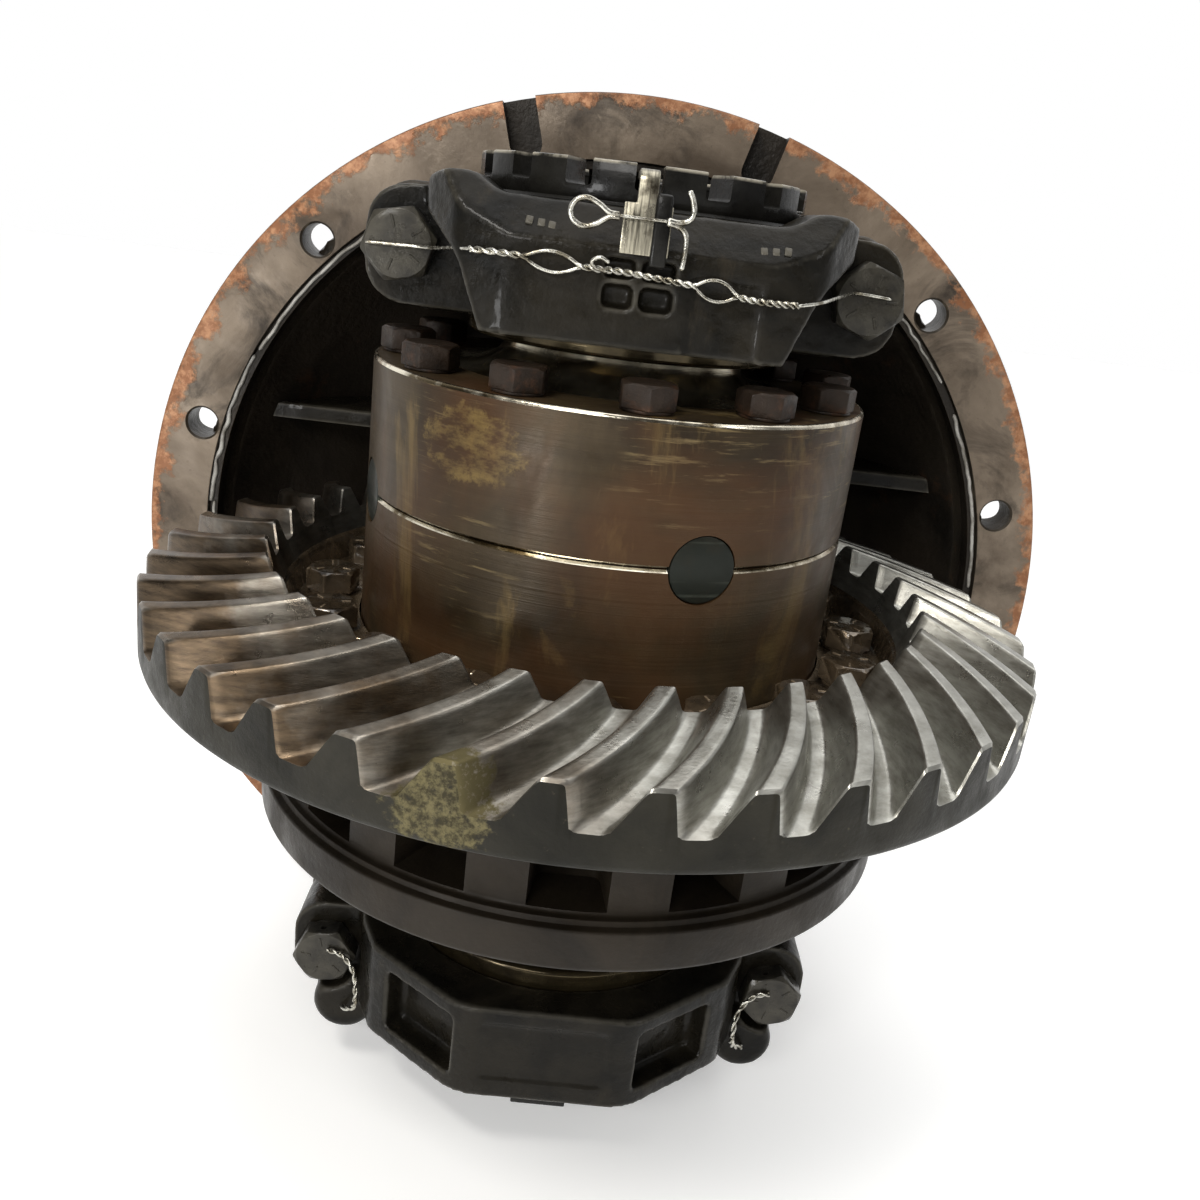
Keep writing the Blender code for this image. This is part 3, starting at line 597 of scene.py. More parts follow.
look.over(scratches, (140, 122, 86), 0.6)
look.over(look.patches((330.0, 8.0, 0.7), 0.68, 0.74), (30, 24, 17), 0.6)
look.over(look.patches((7.0, 5.0, 0.6), 0.46, 0.62, warp=0.8), (86, 54, 28), 0.45)
gold = look.patches((60.0, 6.0, 0.7), 0.42, 0.62, stretch=(1, 1, 2.5))
gold = look.math("MULTIPLY", paint_mask(look, BURNISH_AT, BURNISH_SIZE), gold)
look.over(gold, (142, 120, 70), 0.42)
look.emboss(lines, 0.00022, 0.5)
look.emboss(wide, 0.0004, 0.25)
look.bumps(((45.0, 4.0, 0.6), 0.0008, 0.12))
case_steel = look.finish(look.patches((24.0, 6.0, 0.65), 0.36, 0.64, 0.3, 0.5, warp=1.5))

# Unmachined lower part of the case: brown, oily, slightly pitted, and darker than the turned steel as
# painted shade under the ring gear
look = Look("case_cast_and_shade", 0.15, 0.2)
look.base(look.patches((18.0, 7.0, 0.62), 0.38, 0.66, warp=0.8), (40, 34, 26), (22, 18, 13))
look.bumps(((380.0, 5.0, 0.6), 0.0006, 0.4), ((70.0, 3.0, 0.5), 0.0008, 0.25))
case_cast_and_shade = look.finish(look.patches((40.0, 5.0, 0.6), 0.35, 0.65, 0.32, 0.58))

# Chamfers rubbed to bare metal, painted near white: worn edges and painted highlight
look = Look("bare_edge_and_highlight")
look.base(look.patches((26.0, 7.0, 0.65), 0.44, 0.58), (240, 232, 212), (104, 92, 70))
look.bumps(((500.0, 5.0, 0.6), 0.0001, 0.2))
bare_edge_and_highlight = look.finish(look.patches((200.0, 5.0, 0.6), 0.35, 0.65, 0.14, 0.3))

# Flare under the upper bearing: wet, bright turned steel, far paler than the case as a painted highlight
look = Look("case_neck", 0.95, coat=0.4, coat_rough=0.06)
look.base(look.patches((34.0, 7.0, 0.65), 0.38, 0.64), (196, 188, 166), (104, 90, 64))
look.emboss(look.noise(900.0, 3.0, 0.6, where=look.radial()), 0.0002, 0.4)
look.bumps(((60.0, 4.0, 0.6), 0.0008, 0.15))
neck_steel_highlight = look.finish(look.patches((50.0, 5.0, 0.6), 0.35, 0.65, 0.12, 0.3))

# Ground end of a spider trunnion: slate grey, with grinding lines
look = Look("trunnion_ground", 0.4, 0.3)
lines = look.noise(24.0, 2.0, 0.5, stretch=(0.4, 0.4, 12.0))
look.base(look.spread(lines, 0.6, 0.7), (36, 39, 34), (76, 80, 72))
look.over(look.patches((50.0, 6.0, 0.65), 0.5, 0.7), (44, 43, 35))
look.emboss(lines, 0.0001, 0.3)
trunnion_steel = look.finish(look.patches((90.0, 5.0, 0.6), 0.35, 0.65, 0.28, 0.44))

# Tooth surfaces: ground steel, with a brown varnish on one side of the gear
look = Look("gear_flank", 0.95)
grain = look.patches((70.0, 5.0, 0.65), 0.36, 0.66, stretch=(1, 1, 5.0))
look.base(grain, (172, 171, 164), (134, 132, 124))
side = look.vector("DOT_PRODUCT", look.place, VARNISH_WAY).outputs["Value"]
side = look.math("ADD", side, look.patches((26.0, 5.0, 0.6), 0.3, 0.7, -0.4, 0.4))
look.over(look.spread(side, 0.15, 1.15), look.blend(grain, (92, 73, 50), (58, 45, 31)), 0.92)
look.over(look.patches((34.0, 7.0, 0.65), 0.54, 0.68, warp=1.0), (66, 62, 54), 0.22)
look.over(look.edges(0.53, 0.62), (214, 212, 204))
paint = paint_mask(look, PAINT_AT, PAINT_SIZE)
look.over(paint, (92, 85, 60))
look.emboss(look.noise(500.0, 4.0, 0.6, stretch=(1, 1, 6.0)), 0.0003, 0.35)
look.bumps(((70.0, 3.0, 0.5), 0.0008, 0.15))
rough = look.patches((60.0, 6.0, 0.65), 0.36, 0.66, 0.26, 0.42)
gear_flank = look.finish(look.math("ADD", rough, look.math("MULTIPLY", paint, 0.3)))

# Rim and back of the ring gear: dark olive oxide under oil, with one painted patch
look = Look("gear_rim", 0.0, 0.14)
look.base(look.patches((26.0, 7.0, 0.62), 0.38, 0.66, warp=0.6), (40, 38, 31), (23, 22, 17))
look.over(look.patches((260.0, 8.0, 0.7), 0.64, 0.74), (72, 66, 52))
paint = paint_mask(look, PAINT_AT, PAINT_SIZE)
fleck = look.blend(look.patches((330.0, 6.0, 0.7), 0.4, 0.6), (98, 91, 64), (50, 46, 32))
look.over(paint, fleck)
look.bumps(((600.0, 5.0, 0.6), 0.0004, 0.45), ((110.0, 3.0, 0.5), 0.0006, 0.2))
rough = look.patches((80.0, 6.0, 0.65), 0.36, 0.66, 0.36, 0.56)
gear_rim = look.finish(look.math("ADD", rough, look.math("MULTIPLY", paint, 0.25)))

# Ledge of the ring gear and its bolts, flooded with oil
look = Look("oily_ledge", 0.6, coat=1.0, coat_rough=0.06)
look.base(look.patches((60.0, 7.0, 0.65), 0.4, 0.62), (92, 78, 60), (38, 31, 23))
look.over(look.edges(0.53, 0.62), (158, 140, 116))
look.bumps(((110.0, 4.0, 0.55), 0.0018, 0.5))
oily_ledge = look.finish(look.patches((90.0, 5.0, 0.6), 0.35, 0.65, 0.12, 0.4))

# Drive pinion: ground and oiled
look = Look("pinion_ground", 0.95)
look.base(look.patches((80.0, 5.0, 0.65), 0.36, 0.66, stretch=(1, 4.0, 1)),
          (160, 156, 148), (84, 80, 74))
look.over(look.patches((40.0, 7.0, 0.65), 0.5, 0.66, warp=1.0), (70, 60, 46), 0.6)
look.over(look.edges(0.53, 0.62), (214, 210, 200))
look.emboss(look.noise(900.0, 3.0, 0.6, where=look.radial("Y")), 0.0002, 0.4)
pinion_steel = look.finish(look.patches((80.0, 5.0, 0.6), 0.35, 0.65, 0.2, 0.44))

# Hardened bearing steel, tinted straw by hot oil, with its colour darkened as painted shade
look = Look("bearing_polished", 0.75)
lines = look.noise(700.0, 3.0, 0.6, where=look.radial())
look.base(look.patches((30.0, 6.0, 0.65), 0.4, 0.66), (84, 74, 52), (38, 32, 22))
look.over(look.spread(lines, 0.52, 0.7), (46, 39, 27))
look.emboss(lines, 0.00015, 0.4)
bearing_steel_shaded = look.finish(look.patches((70.0, 5.0, 0.6), 0.35, 0.65, 0.1, 0.3))

# Adjusting rings: black; the top band of the upper ring is painted pale, bare metal and painted
# highlight
look = Look("adjuster_oiled", 0.0, 0.12, 0.12, 0.08)
look.base(look.patches((50.0, 6.0, 0.6), 0.4, 0.65), (30, 29, 26), (14, 13, 12))
# Pale band at the top of the upper ring: painted highlight on rubbed metal
rubbed_top_highlight = look.spread(look.axis("Z"), (ADJUST_TOP_Z - 1.5) * MM, (ADJUST_TOP_Z - 0.5) * MM)
look.over(rubbed_top_highlight, (150, 144, 130), look.patches((90.0, 6.0, 0.65), 0.36, 0.56))
look.bumps(((400.0, 5.0, 0.6), 0.0005, 0.4))
adjuster_steel = look.finish(look.patches((90.0, 5.0, 0.6), 0.35, 0.65, 0.2, 0.42))

# Lock plate: brushed across
look = Look("lock_plate_steel", 0.9)
lines = look.noise(60.0, 4.0, 0.6, stretch=(18.0, 1.0, 1.0))
look.base(look.spread(lines, 0.38, 0.66), (170, 164, 146), (84, 80, 70))
look.over(look.patches((90.0, 6.0, 0.65), 0.54, 0.7), (58, 52, 42))
look.emboss(lines, 0.0003, 0.4)
lock_steel = look.finish(look.patches((120.0, 5.0, 0.6), 0.35, 0.65, 0.2, 0.45))

# Lock wires and cotter pin
look = Look("wire_bare")
look.base(look.patches((160.0, 5.0, 0.6), 0.42, 0.62), (208, 206, 196), (118, 112, 98))
look.bumps(((1500.0, 4.0, 0.6), 0.0002, 0.4))
wire_steel = look.finish(look.patches((300.0, 4.0, 0.6), 0.35, 0.65, 0.16, 0.36))

look = Look("seal_rubber", 0.0)
look.base(look.patches((90.0, 6.0, 0.6), 0.4, 0.65), (34, 32, 30), (20, 19, 18))
look.bumps(((600.0, 4.0, 0.6), 0.0004, 0.4))
seal_rubber = look.finish(look.patches((120.0, 5.0, 0.6), 0.35, 0.65, 0.42, 0.66))

# Coupling flange: turned, worn and spotted with rust
look = Look("coupling_worn", 0.75)
look.base(look.patches((30.0, 7.0, 0.65), 0.4, 0.64, warp=0.8), (122, 116, 106), (62, 56, 48))
look.over(look.patches((70.0, 8.0, 0.7), 0.58, 0.7), (126, 84, 52))
look.over(look.edges(0.53, 0.62), (186, 178, 162))
look.emboss(look.noise(700.0, 3.0, 0.6, where=look.radial("Y")), 0.0003, 0.45)
look.bumps(((420.0, 5.0, 0.65), 0.0005, 0.3))
coupling_steel = look.finish(look.patches((60.0, 5.0, 0.6), 0.35, 0.65, 0.3, 0.55))

look = Look("sealant_grey", 0.0)
look.base(look.patches((90.0, 6.0, 0.6), 0.4, 0.65), (176, 174, 168), (112, 108, 100))
look.bumps(((500.0, 4.0, 0.6), 0.0006, 0.4))
sealant = look.finish(look.patches((120.0, 5.0, 0.6), 0.35, 0.65, 0.38, 0.6))


def shade(mesh, sharp=34):
    mesh.shade_smooth()
    mesh.set_sharp_from_angle(angle=math.radians(sharp))


def mount(obj, name, body, nodes=()):
    obj.name = name
    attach(obj, body)
    if nodes:
        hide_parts(*nodes)


def place(obj, name, body, materials, nodes=(), sharp=34):
    """Gives a finished piece its name, materials and shading, and mounts it on its body."""
    mesh = obj.data
    mesh.name = name
    if not isinstance(materials, list):
        materials = [materials]
    indices = [p.material_index for p in mesh.polygons]
    mesh.materials.clear()
    for material in materials:
        mesh.materials.append(material)
    if len(materials) > 1:
        mesh.polygons.foreach_set("material_index", indices)
    shade(mesh, sharp)
    mount(obj, name, body, nodes)


def paint_faces(obj, test, index):
    """Gives a material index to the faces whose centre and normal pass the test."""
    for face in obj.data.polygons:
        if test(face.center / MM, face.normal):
            face.material_index = index


# ---------------------------------------------------------------- gear teeth
def involute(angle):
    return math.tan(angle) - angle


def half_angle(rho, cone, height, thick):
    """Half the tooth's angle about the gear axis, at a height above the pitch cone."""
    pitch = rho * math.tan(cone)
    base = pitch * math.cos(PRESSURE)
    here = math.acos(base / max(pitch + height, base * 1.0005))
    return (thick / (2 * pitch) + involute(PRESSURE) - involute(here)) / math.cos(cone)


def crown_angle(rho):
    """Turn of the spiral on the unrolled pitch cone, at a distance from the apex."""
    return SPIRAL_A * math.log(rho / TOE_RHO) + SPIRAL_B * (rho - TOE_RHO)


def ring_trace(rho):
    return RING_PHASE + (crown_angle(HEEL_RHO) - crown_angle(rho)) / math.sin(RING_CONE)


def pinion_trace(rho):
    """The ring gear's trace seen from the pinion, half a pitch on, so that the teeth mesh."""
    gap = RING_PHASE + TOOTH_PITCH / 2
    steps = round((math.pi / 2 - gap) / TOOTH_PITCH)
    offset = gap + steps * TOOTH_PITCH - math.pi / 2
    offset += (crown_angle(HEEL_RHO) - crown_angle(rho)) / math.sin(RING_CONE)
    return math.pi / 2 + offset * RING_TEETH / PINION_TEETH


def tooth_ring(teeth, cone, rho_of, outline, thick, trace, side, inset):
    """One ring of points round all teeth.

    outline lists (height, extra width) at the big end, from root to tip; inset shrinks the
    tooth all round, for the chamfer at its ends.
    """
    ring = []
    ways = [(-1, h, e) for h, e in outline] + [(1, h, e) for h, e in reversed(outline)]
    for k in range(teeth):
        for sign, level, extra in ways:
            level -= inset * (level > outline[0][0] + 1.0)
            rho = rho_of(level)
            share = rho / HEEL_RHO
            angle = half_angle(rho, cone, level * share, thick * share)
            angle += (extra - inset * 0.8) * share / (rho * math.sin(cone))
            angle = trace(rho) + 2 * math.pi * k / teeth + sign * angle
            radius = rho * math.sin(cone) + level * share * math.cos(cone)
            axial = rho * math.cos(cone) - level * share * math.sin(cone)
            ring.append(about_z(radius, angle, side * axial))
    return ring


def plain_ring(like, radius, height):
    """Ring of points with the angles of another ring."""
    return [
        (radius * x / math.hypot(x, y), radius * y / math.hypot(x, y), height)
        for x, y, z in like]


def heel_rho(level):
    """Distance from the apex at which a level of the ring gear's teeth meets its rim."""
    return RING_R / (math.sin(RING_CONE) + level / HEEL_RHO * math.cos(RING_CONE))


RING_OUTLINE = [
    (-13.2, 3.0), (-13.0, 1.6), (-12.3, 0.6), (-11.0, 0.1), (-8.0, 0.0), (-5.0, 0.0), (-2.0, 0.0),
    (0.5, 0.0), (2.2, 0.0), (3.2, -0.1), (3.7, -0.5), (3.9, -1.2), (3.9, -3.0)]
PINION_OUTLINE = [
    (-4.9, 2.4), (-4.7, 1.2), (-4.0, 0.4), (-2.6, 0.0), (0.0, 0.0), (3.0, 0.0), (6.0, 0.0),
    (9.0, 0.0), (11.0, 0.0), (11.8, -0.2), (12.1, -0.8), (12.1, -1.8)]


HALF_THREAD = 1.25  # half the pitch of the drawn threads
STATIONS = 20  # rings of points along a tooth
TOE_R = 149.5  # inner end of the ring gear's teeth


def make_ring_gear():
    chamfer = 0.018
    shares = [chamfer + (1 - 2 * chamfer) * s / STATIONS for s in range(STATIONS + 1)]
    shares = [0.0] + shares + [1.0]
    rings = []
    for i, share in enumerate(shares):

        def rho_of(level, share=share):
            return TOE_RHO + (heel_rho(level) - TOE_RHO) * share

        inset = 1.1 if i in (0, len(shares) - 1) else 0.0
        rings.append(tooth_ring(
            RING_TEETH, RING_CONE, rho_of, RING_OUTLINE, RING_THICK, ring_trace, -1, inset))
    toe = rings[0]
    heel = rings[-1]
    low = RING_BACK_Z
    rim = [(RING_R, -77.0), (RING_R, low + 3.4), (RING_R - 0.5, low + 1.6),
           (RING_R - 1.6, low + 0.5), (RING_R - 3.4, low)]
    rings += [plain_ring(heel, r, z) for r, z in rim]
    inner = [(160.0, low), (CASE_R + 0.9, low), (CASE_R + 0.9, LEDGE_Z), (118.0, LEDGE_Z),
             (142.0, LEDGE_Z), (143.4, LEDGE_Z + 0.5), (144.0, LEDGE_Z + 2.0), (146.3, -62.4),
             (147.2, -61.2), (148.4, -60.6)]
    rings += [plain_ring(toe, r, z) for r, z in inner]
    gear = rings_to_object("ring", rings, True)

    paint_faces(gear, lambda c, n: TOE_R < math.hypot(c.x, c.y) < RING_R - 0.45 and c.z > -82.0, 1)
    paint_faces(gear, lambda c, n: math.hypot(c.x, c.y) < TOE_R and c.z > low + 1, 2)
    place(gear, "ring_gear_forging", "diff_case", [gear_rim, gear_flank, oily_ledge],
          ["ring_gear"], 30)


def make_pinion():
    rings = []
    for s in range(STATIONS + 1):
        rho = TOE_RHO + (HEEL_RHO - TOE_RHO) * s / STATIONS
        inset = 0.9 if s in (0, STATIONS) else 0.0
        rings.append(tooth_ring(
            PINION_TEETH, PINION_CONE, lambda level, rho=rho: rho, PINION_OUTLINE, PINION_THICK,
            pinion_trace, 1, inset))
    heel = rings[-1]
    end = PINION_END_Y
    start = [(2, 152.4), (12, 152.4), (24, 153), (28, 153.4), (30, 154.4)]
    start = [plain_ring(rings[0], r, z) for r, z in start]
    shaft = [(43, 217.6), (42, 219), (36, 219.6), (34, 221), (34, 238.3), (29, 239.2), (29, 305.5)]
    thread = [(24 - (k % 2) * 0.9, 309.0 + k * HALF_THREAD)
              for k in range(int((end - 311) / HALF_THREAD))]
    tail = [(23.4, end - 1.0), (22.4, end), (10, end), (7, end - 3.5), (1, end - 4.5)]
    rings = start + rings + [plain_ring(heel, r, z) for r, z in shaft + thread + tail]
    mesh = rings_to_object("pinion", rings)
    mesh.data.transform(TURN_TO_Y)
    place(mesh, "drive_pinion_gear", "pinion_shaft", pinion_steel, ["drive_pinion"], 30)


# ---------------------------------------------------------------- fasteners
def hex_head(radius, height, washer=0.0, marks=0, wire_hole=False):
    """Forged hex head standing on z 0: chamfered corners, washer face, plain radial marks."""
    flat = radius * math.cos(math.pi / 6)
    bar = prism("head", circle(radius, 6), washer, height)
    bevel(bar, radius * 0.05, 2)
    crown = rounded([(0, 0), (radius * 1.02, 0), (radius * 1.02, height - radius * 0.13),
                     (flat * 0.97, height, 0.6), (0, height)], 0.0)
    bar = keep(bar, lathe("crown", crown, 64))
    parts = [bar]
    if washer:
        ring = rounded([(0, 0), (flat * 0.99, 0), (flat * 0.99, washer), (0, washer)], 0.2, 2)
        parts.append(lathe("washer", ring, 48))
    for k in range(marks):
        angle = 2 * math.pi * k / marks + 0.4
        mark = box("mark", (flat * 0.46, -radius * 0.035, height - 0.2),
                   (flat * 0.82, radius * 0.035, height + 0.35), spin(angle))
        parts.append(bevel(mark, 0.15, 1))
    if wire_hole:
        drill = rod("drill", 1.6, -40, 40, 12, spin(math.pi / 2, "X"), (0, 0, height * 0.55))
        parts[0] = cut(parts[0], drill)
    return merge("bolt", parts)


def copy_of(obj, matrix):
    """Another object with the same mesh, moved by a matrix from the apex."""
    fresh = bpy.data.objects.new(obj.name, obj.data)
    bpy.context.scene.collection.objects.link(fresh)
    fresh.matrix_world = Matrix.Translation(APEX) @ matrix
    return fresh


def put_bolts(pattern, name, body, material, places, nodes=()):
    """Copies of one bolt: each place is a matrix, and each may stand for its own CAD node."""
    for number, matrix in enumerate(places, 1):
        bolt = copy_of(pattern, matrix)
        mount(bolt, "%s_%02d" % (name, number), body, nodes[number - 1:number])
    pattern.data.materials.append(material)
    shade(pattern.data)
    bpy.data.objects.remove(pattern, do_unlink=True)


CAGE_BOLT_ANGLES = [math.radians(30 + 60 * k) for k in range(6)]


def make_bolts():
    case = []
    for k in range(CASE_BOLTS):
        angle = SPIDER_ANGLE + math.pi / 12 + 2 * math.pi * k / CASE_BOLTS
        case.append(shift(*about_z(CASE_BOLT_R, angle, CASE_TOP_Z + 0.2)) @ spin(angle * 2.3))
    head = hex_head(12.3, CASE_BOLT_TOP - CASE_TOP_Z - 0.2, 1.2)
    put_bolts(head, "case_hex_bolt", "diff_case", bolt_rust, case,
              ["case_bolt_%02d" % (k + 1) for k in range(CASE_BOLTS)])

    ledge = []
    for k in range(RING_BOLTS):
        angle = 2 * math.pi * k / RING_BOLTS
        ledge.append(shift(*about_z(RING_BOLT_R, angle, LEDGE_Z))
                     @ spin(angle + math.pi / 6 + 0.25 * math.sin(7 * k)))
    put_bolts(hex_head(13.2, 12.0, 1.4, 3), "ring_hex_bolt", "diff_case",
              oily_ledge, ledge)

    turn = spin(math.pi / 2, "X")
    caps = [
        ("cap_bolt_upper_left", -UP_BOLT_X, UP_SEAT_Y, UP_BOLT_Z, 0.2),
        ("cap_bolt_upper_right", UP_BOLT_X, UP_SEAT_Y, UP_BOLT_Z, -0.35),
        ("cap_bolt_lower_left", -LOW_BOLT_X, LOW_SEAT_Y, LOW_BOLT_Z, 0.1),
        ("cap_bolt_lower_right", LOW_BOLT_X, LOW_SEAT_Y, LOW_BOLT_Z, 0.3)]
    places = [shift(x, y, z) @ turn @ spin(a) for _, x, y, z, a in caps]
    put_bolts(hex_head(CAP_HEX_R, 12.3, 1.4, 5, True), "cap_hex_bolt", "carrier",
              bolt_steel, places, [c[0] for c in caps])

    cage = [shift(*about_y(CAGE_BOLT_R, angle, NOSE_END_Y + 13.6))
            @ spin(-math.pi / 2, "X") @ spin(angle * 1.7) for angle in CAGE_BOLT_ANGLES]
    put_bolts(hex_head(11.5, 10.6, 1.2, 3), "cage_hex_bolt", "carrier", bolt_steel, cage,
              ["cage_bolt_%d" % (k + 1) for k in range(6)])


# ---------------------------------------------------------------- differential case
def make_case():
    top = CASE_TOP_Z
    base = SPIDER_Z + 0.3
    neck = CASE_NECK_Z
    flare = [(54.6, 60.2), (55.2, 57.6), (57.2, 54.8), (60.8, 52.2), (66.0, 50.2), (72.0, 49.0),
             (78.0, 48.5)]
    plain = rounded([
        (AXLE_BORE_R, neck), (45.0, neck, 1.2), (45.0, 62.6), (55.0, 62.6, 0.8)], 0.8)
    plain += flare + rounded([
        (80, top), (CASE_R, top, 1.6), (CASE_R, base + 1.1, 0), (CASE_R - 1.3, base, 0),
        (80, base, 0), (80, SPIDER_Z + 50.4, 4), (40.4, SPIDER_Z + 50.4, 2),
        (40.4, SPIDER_Z + 65, 1), (AXLE_BORE_R, SPIDER_Z + 65)], 0.6)
    half = lathe("plain", plain, 144)
    low_neck = SPIDER_Z - 0.3
    seat = RING_BACK_Z - 0.3
    flanged = rounded([
        (80, low_neck, 0), (CASE_R - 1.3, low_neck, 0), (CASE_R, low_neck - 1.1, 0),
        (CASE_R, seat, 0.8), (WAIST_R, seat, 1.0), (WAIST_R, DISC_TOP_Z, 3.0),
        (DISC_R - 4, DISC_TOP_Z, 0.6), (DISC_R - 3.4, DISC_TOP_Z - 2.2, 0.4),
        (DISC_R, DISC_TOP_Z - 2.8, 1.2), (DISC_R, DISC_LOW_Z + 4, 3.0),
        (DISC_R - 8, DISC_LOW_Z, 4.0), (126, DISC_LOW_Z - 1, 9), (92, -181, 12), (70, -200, 8),
        (65, -221.7, 1.0), (54, -221.7, 1.2), (54, CASE_END_Z, 1.4), (AXLE_BORE_R, CASE_END_Z, 1.0),
        (AXLE_BORE_R, SPIDER_Z - 65), (40.4, SPIDER_Z - 65, 1), (40.4, SPIDER_Z - 50.4, 2),
        (80, SPIDER_Z - 50.4, 4)], 0.6)
    other = lathe("flanged", flanged, 144)
    outline = rounded([(123, -13), (153, -17), (153, 17), (123, 13)], 4.0, 3)
    pockets = [prism("pocket", outline, DISC_TOP_Z + 1.2, -97.0, spin(2 * math.pi * k / RING_BOLTS))
               for k in range(RING_BOLTS)]
    other = cut(other, merge("pockets", pockets))
    arms = [spin(SPIDER_ANGLE + k * math.pi / 2) @ spin(math.pi / 2, "Y") for k in (0, 1)]
    middle = (0, 0, SPIDER_Z)
    for part in (half, other):
        cut(part, *[rod("drill", TRUNNION_R + 0.5, -130, 130, 64, arm, middle) for arm in arms])
        # Faces along the parting line get the near-white edge: bare metal and painted highlight
        paint_faces(part, lambda c, n: abs(c.z - SPIDER_Z) < 1.15 and math.hypot(c.x, c.y) > 105
                    and abs(n.z) > 0.2, 1)
    # The top-edge chamfer of the plain half gets the near-white edge: painted highlight on bare metal
    paint_faces(half, lambda c, n: c.z > top - 1.7 and math.hypot(c.x, c.y) > CASE_R - 1.7
                and n.z < 0.99, 1)
    # The flare above the case top takes the pale neck steel: painted highlight
    paint_faces(half, lambda c, n: c.z > top and math.hypot(c.x, c.y) < 79, 2)
    # Faces below the ring gear take the darker casting look: painted shade
    paint_faces(other, lambda c, n: c.z < RING_BACK_Z - 0.5, 2)
    place(half, "case_half_plain", "diff_case", [case_steel, bare_edge_and_highlight, neck_steel_highlight],
          ["plain_case_half"])
    place(other, "case_half_flanged", "diff_case", [case_steel, bare_edge_and_highlight, case_cast_and_shade],
          ["flange_case_half"])
    lugs = []
    for degrees, wide in ((-123, 9), (-104, 9), (-70, 8), (-35, 9)):
        outline = rounded([(122, -wide), (139, -wide, 6), (139, wide, 6), (122, wide)], 2.0, 4)
        turn = spin(math.radians(degrees))
        lugs.append(prism("lug", outline, DISC_LOW_Z - 4.5, DISC_LOW_Z + 1.5, turn))
    boss = cast(merge("lugs", lugs), 0.9, 4)
    # The bosses under the disc take the same darker look: painted shade
    place(boss, "case_disc_bosses", "diff_case", case_cast_and_shade)

    hub = rounded([(10, 15), (26, 15), (26, -15), (10, -15)], 2.0)
    hub = lathe("hub", hub, 64, None, middle)
    end = CASE_R - 0.6
    pin = [(0, -end, 0), (TRUNNION_R, -end, 0.6), (TRUNNION_R, end, 0.6), (0, end, 0)]
    for arm in arms:
        hub = join(hub, lathe("pin", rounded(pin, 0.0, 2), 64, arm, middle))
    place(hub, "spider_trunnions", "diff_case", trunnion_steel, ["spider_cross"])


# ---------------------------------------------------------------- bearings
def make_bearing(tag, bore, cup_in, cup_out, back, front, rollers):
    """Tapered bearing; back is the case side and front the adjuster side."""
    away = 1 if front > back else -1
    cup = rounded([(cup_in - 4, back), (cup_out, back, 2.0), (cup_out, front, 1.0),
                   (cup_in + 2, front)], 0.6)
    place(lathe("cup", cup, 128), "bearing_outer_race_" + tag, "carrier",
          bearing_steel_shaded, ["bearing_cup_" + tag])
    small = cup_in - 4.6
    big = cup_in + 0.8
    inner = rounded([
        (bore + 0.3, back + away, 1.2), (bore + 7, back + away), (small - 7, back + 6 * away),
        (big - 9, front - 6 * away), (big - 5, front - 4 * away), (big - 5, front),
        (bore + 0.3, front, 1.2)], 0.5)
    parts = [lathe("inner", inner, 96)]
    lean = math.atan2((big - small), abs(front - back) - 10)
    length = abs(front - back) - 11
    for k in range(rollers):
        angle = 2 * math.pi * k / rollers
        outline = rounded([(0, 0, 0), (3.5, 0), (4.3, length), (0, length, 0)], 0.4, 2)
        roller = lathe("roller", outline, 20)
        tilt = spin(angle) @ spin(lean if away > 0 else math.pi - lean, "Y")
        roller.data.transform(shift(*about_z(small - 4.2, angle, back + 5.5 * away)) @ tilt)
        parts.append(roller)
    near, far = back + 3.4 * away, back + 6 * away
    cage = [(small - 3.2, near), (small - 0.9, near), (small - 0.9, far), (small - 3.2, far)]
    parts.append(lathe("cage", rounded(cage, 0.3, 2), 96))
    place(merge("rest", parts), "bearing_cone_and_rollers_" + tag, "diff_case",
          bearing_steel_shaded, ["bearing_cone_" + tag])


def make_adjuster(tag, radius, inner, low, high, outer):
    """Threaded ring with sixteen notches in its outer end."""
    away = 1 if outer == high else -1
    near = low if away > 0 else high
    threads = [(radius - 0.4 - 0.9 * (k % 2), near + away * (1.5 + HALF_THREAD * k))
               for k in range(18)]
    start = threads[-1][1] + away * 1.5
    outline = [(inner, near), (radius - 1.4, near)] + threads
    outline += rounded([(radius - 0.6, start, 0), (radius - 0.6, outer, 0.9), (inner + 2, outer, 0.9),
                        (inner, outer - 3 * away, 0.9)], 0.5, 2)
    ring = lathe("adjuster", outline, 128)
    notches = []
    for k in range(16):
        slot = rounded([(-5.5, -10), (5.5, -10), (5.5, 5), (-5.5, 5)], 1.6, 3)
        notch = prism("notch", slot, inner - 6, radius + 6,
                      spin(2 * math.pi * k / 16) @ spin(math.pi / 2, "Z") @ spin(math.pi / 2, "X"))
        if away < 0:
            notch.data.transform(spin(math.pi, "X"))
        notch.data.transform(shift(0, 0, outer))
        notches.append(notch)
    ring = cut(ring, merge("notches", notches))
    place(ring, "adjuster_ring_" + tag, "carrier", adjuster_steel,
          ["adjusting_ring_" + tag])


# ---------------------------------------------------------------- bearing caps
SIDEWAYS = spin(math.pi / 2, "Z") @ spin(math.pi / 2, "X")  # from an outline of (y, z), along X


def lug(x_in, x_out, z_low, z_high, seat_y, corner):
    """Block through which a cap bolt passes, with rounded outer corners."""
    outline = rounded([(x_in, z_low, 0), (x_out, z_low, corner), (x_out, z_high, corner),
                       (x_in, z_high, 0)], 0.0, 8)
    if x_out < x_in:
        outline.reverse()
    return prism("lug", [(x, -z) for x, z in outline], seat_y, -0.3, TURN_TO_Y)


def mirrored(half):
    """Closed outline from its right half, listed from front to back."""
    return half + [(-x,) + tuple(rest) for x, *rest in reversed(half)]


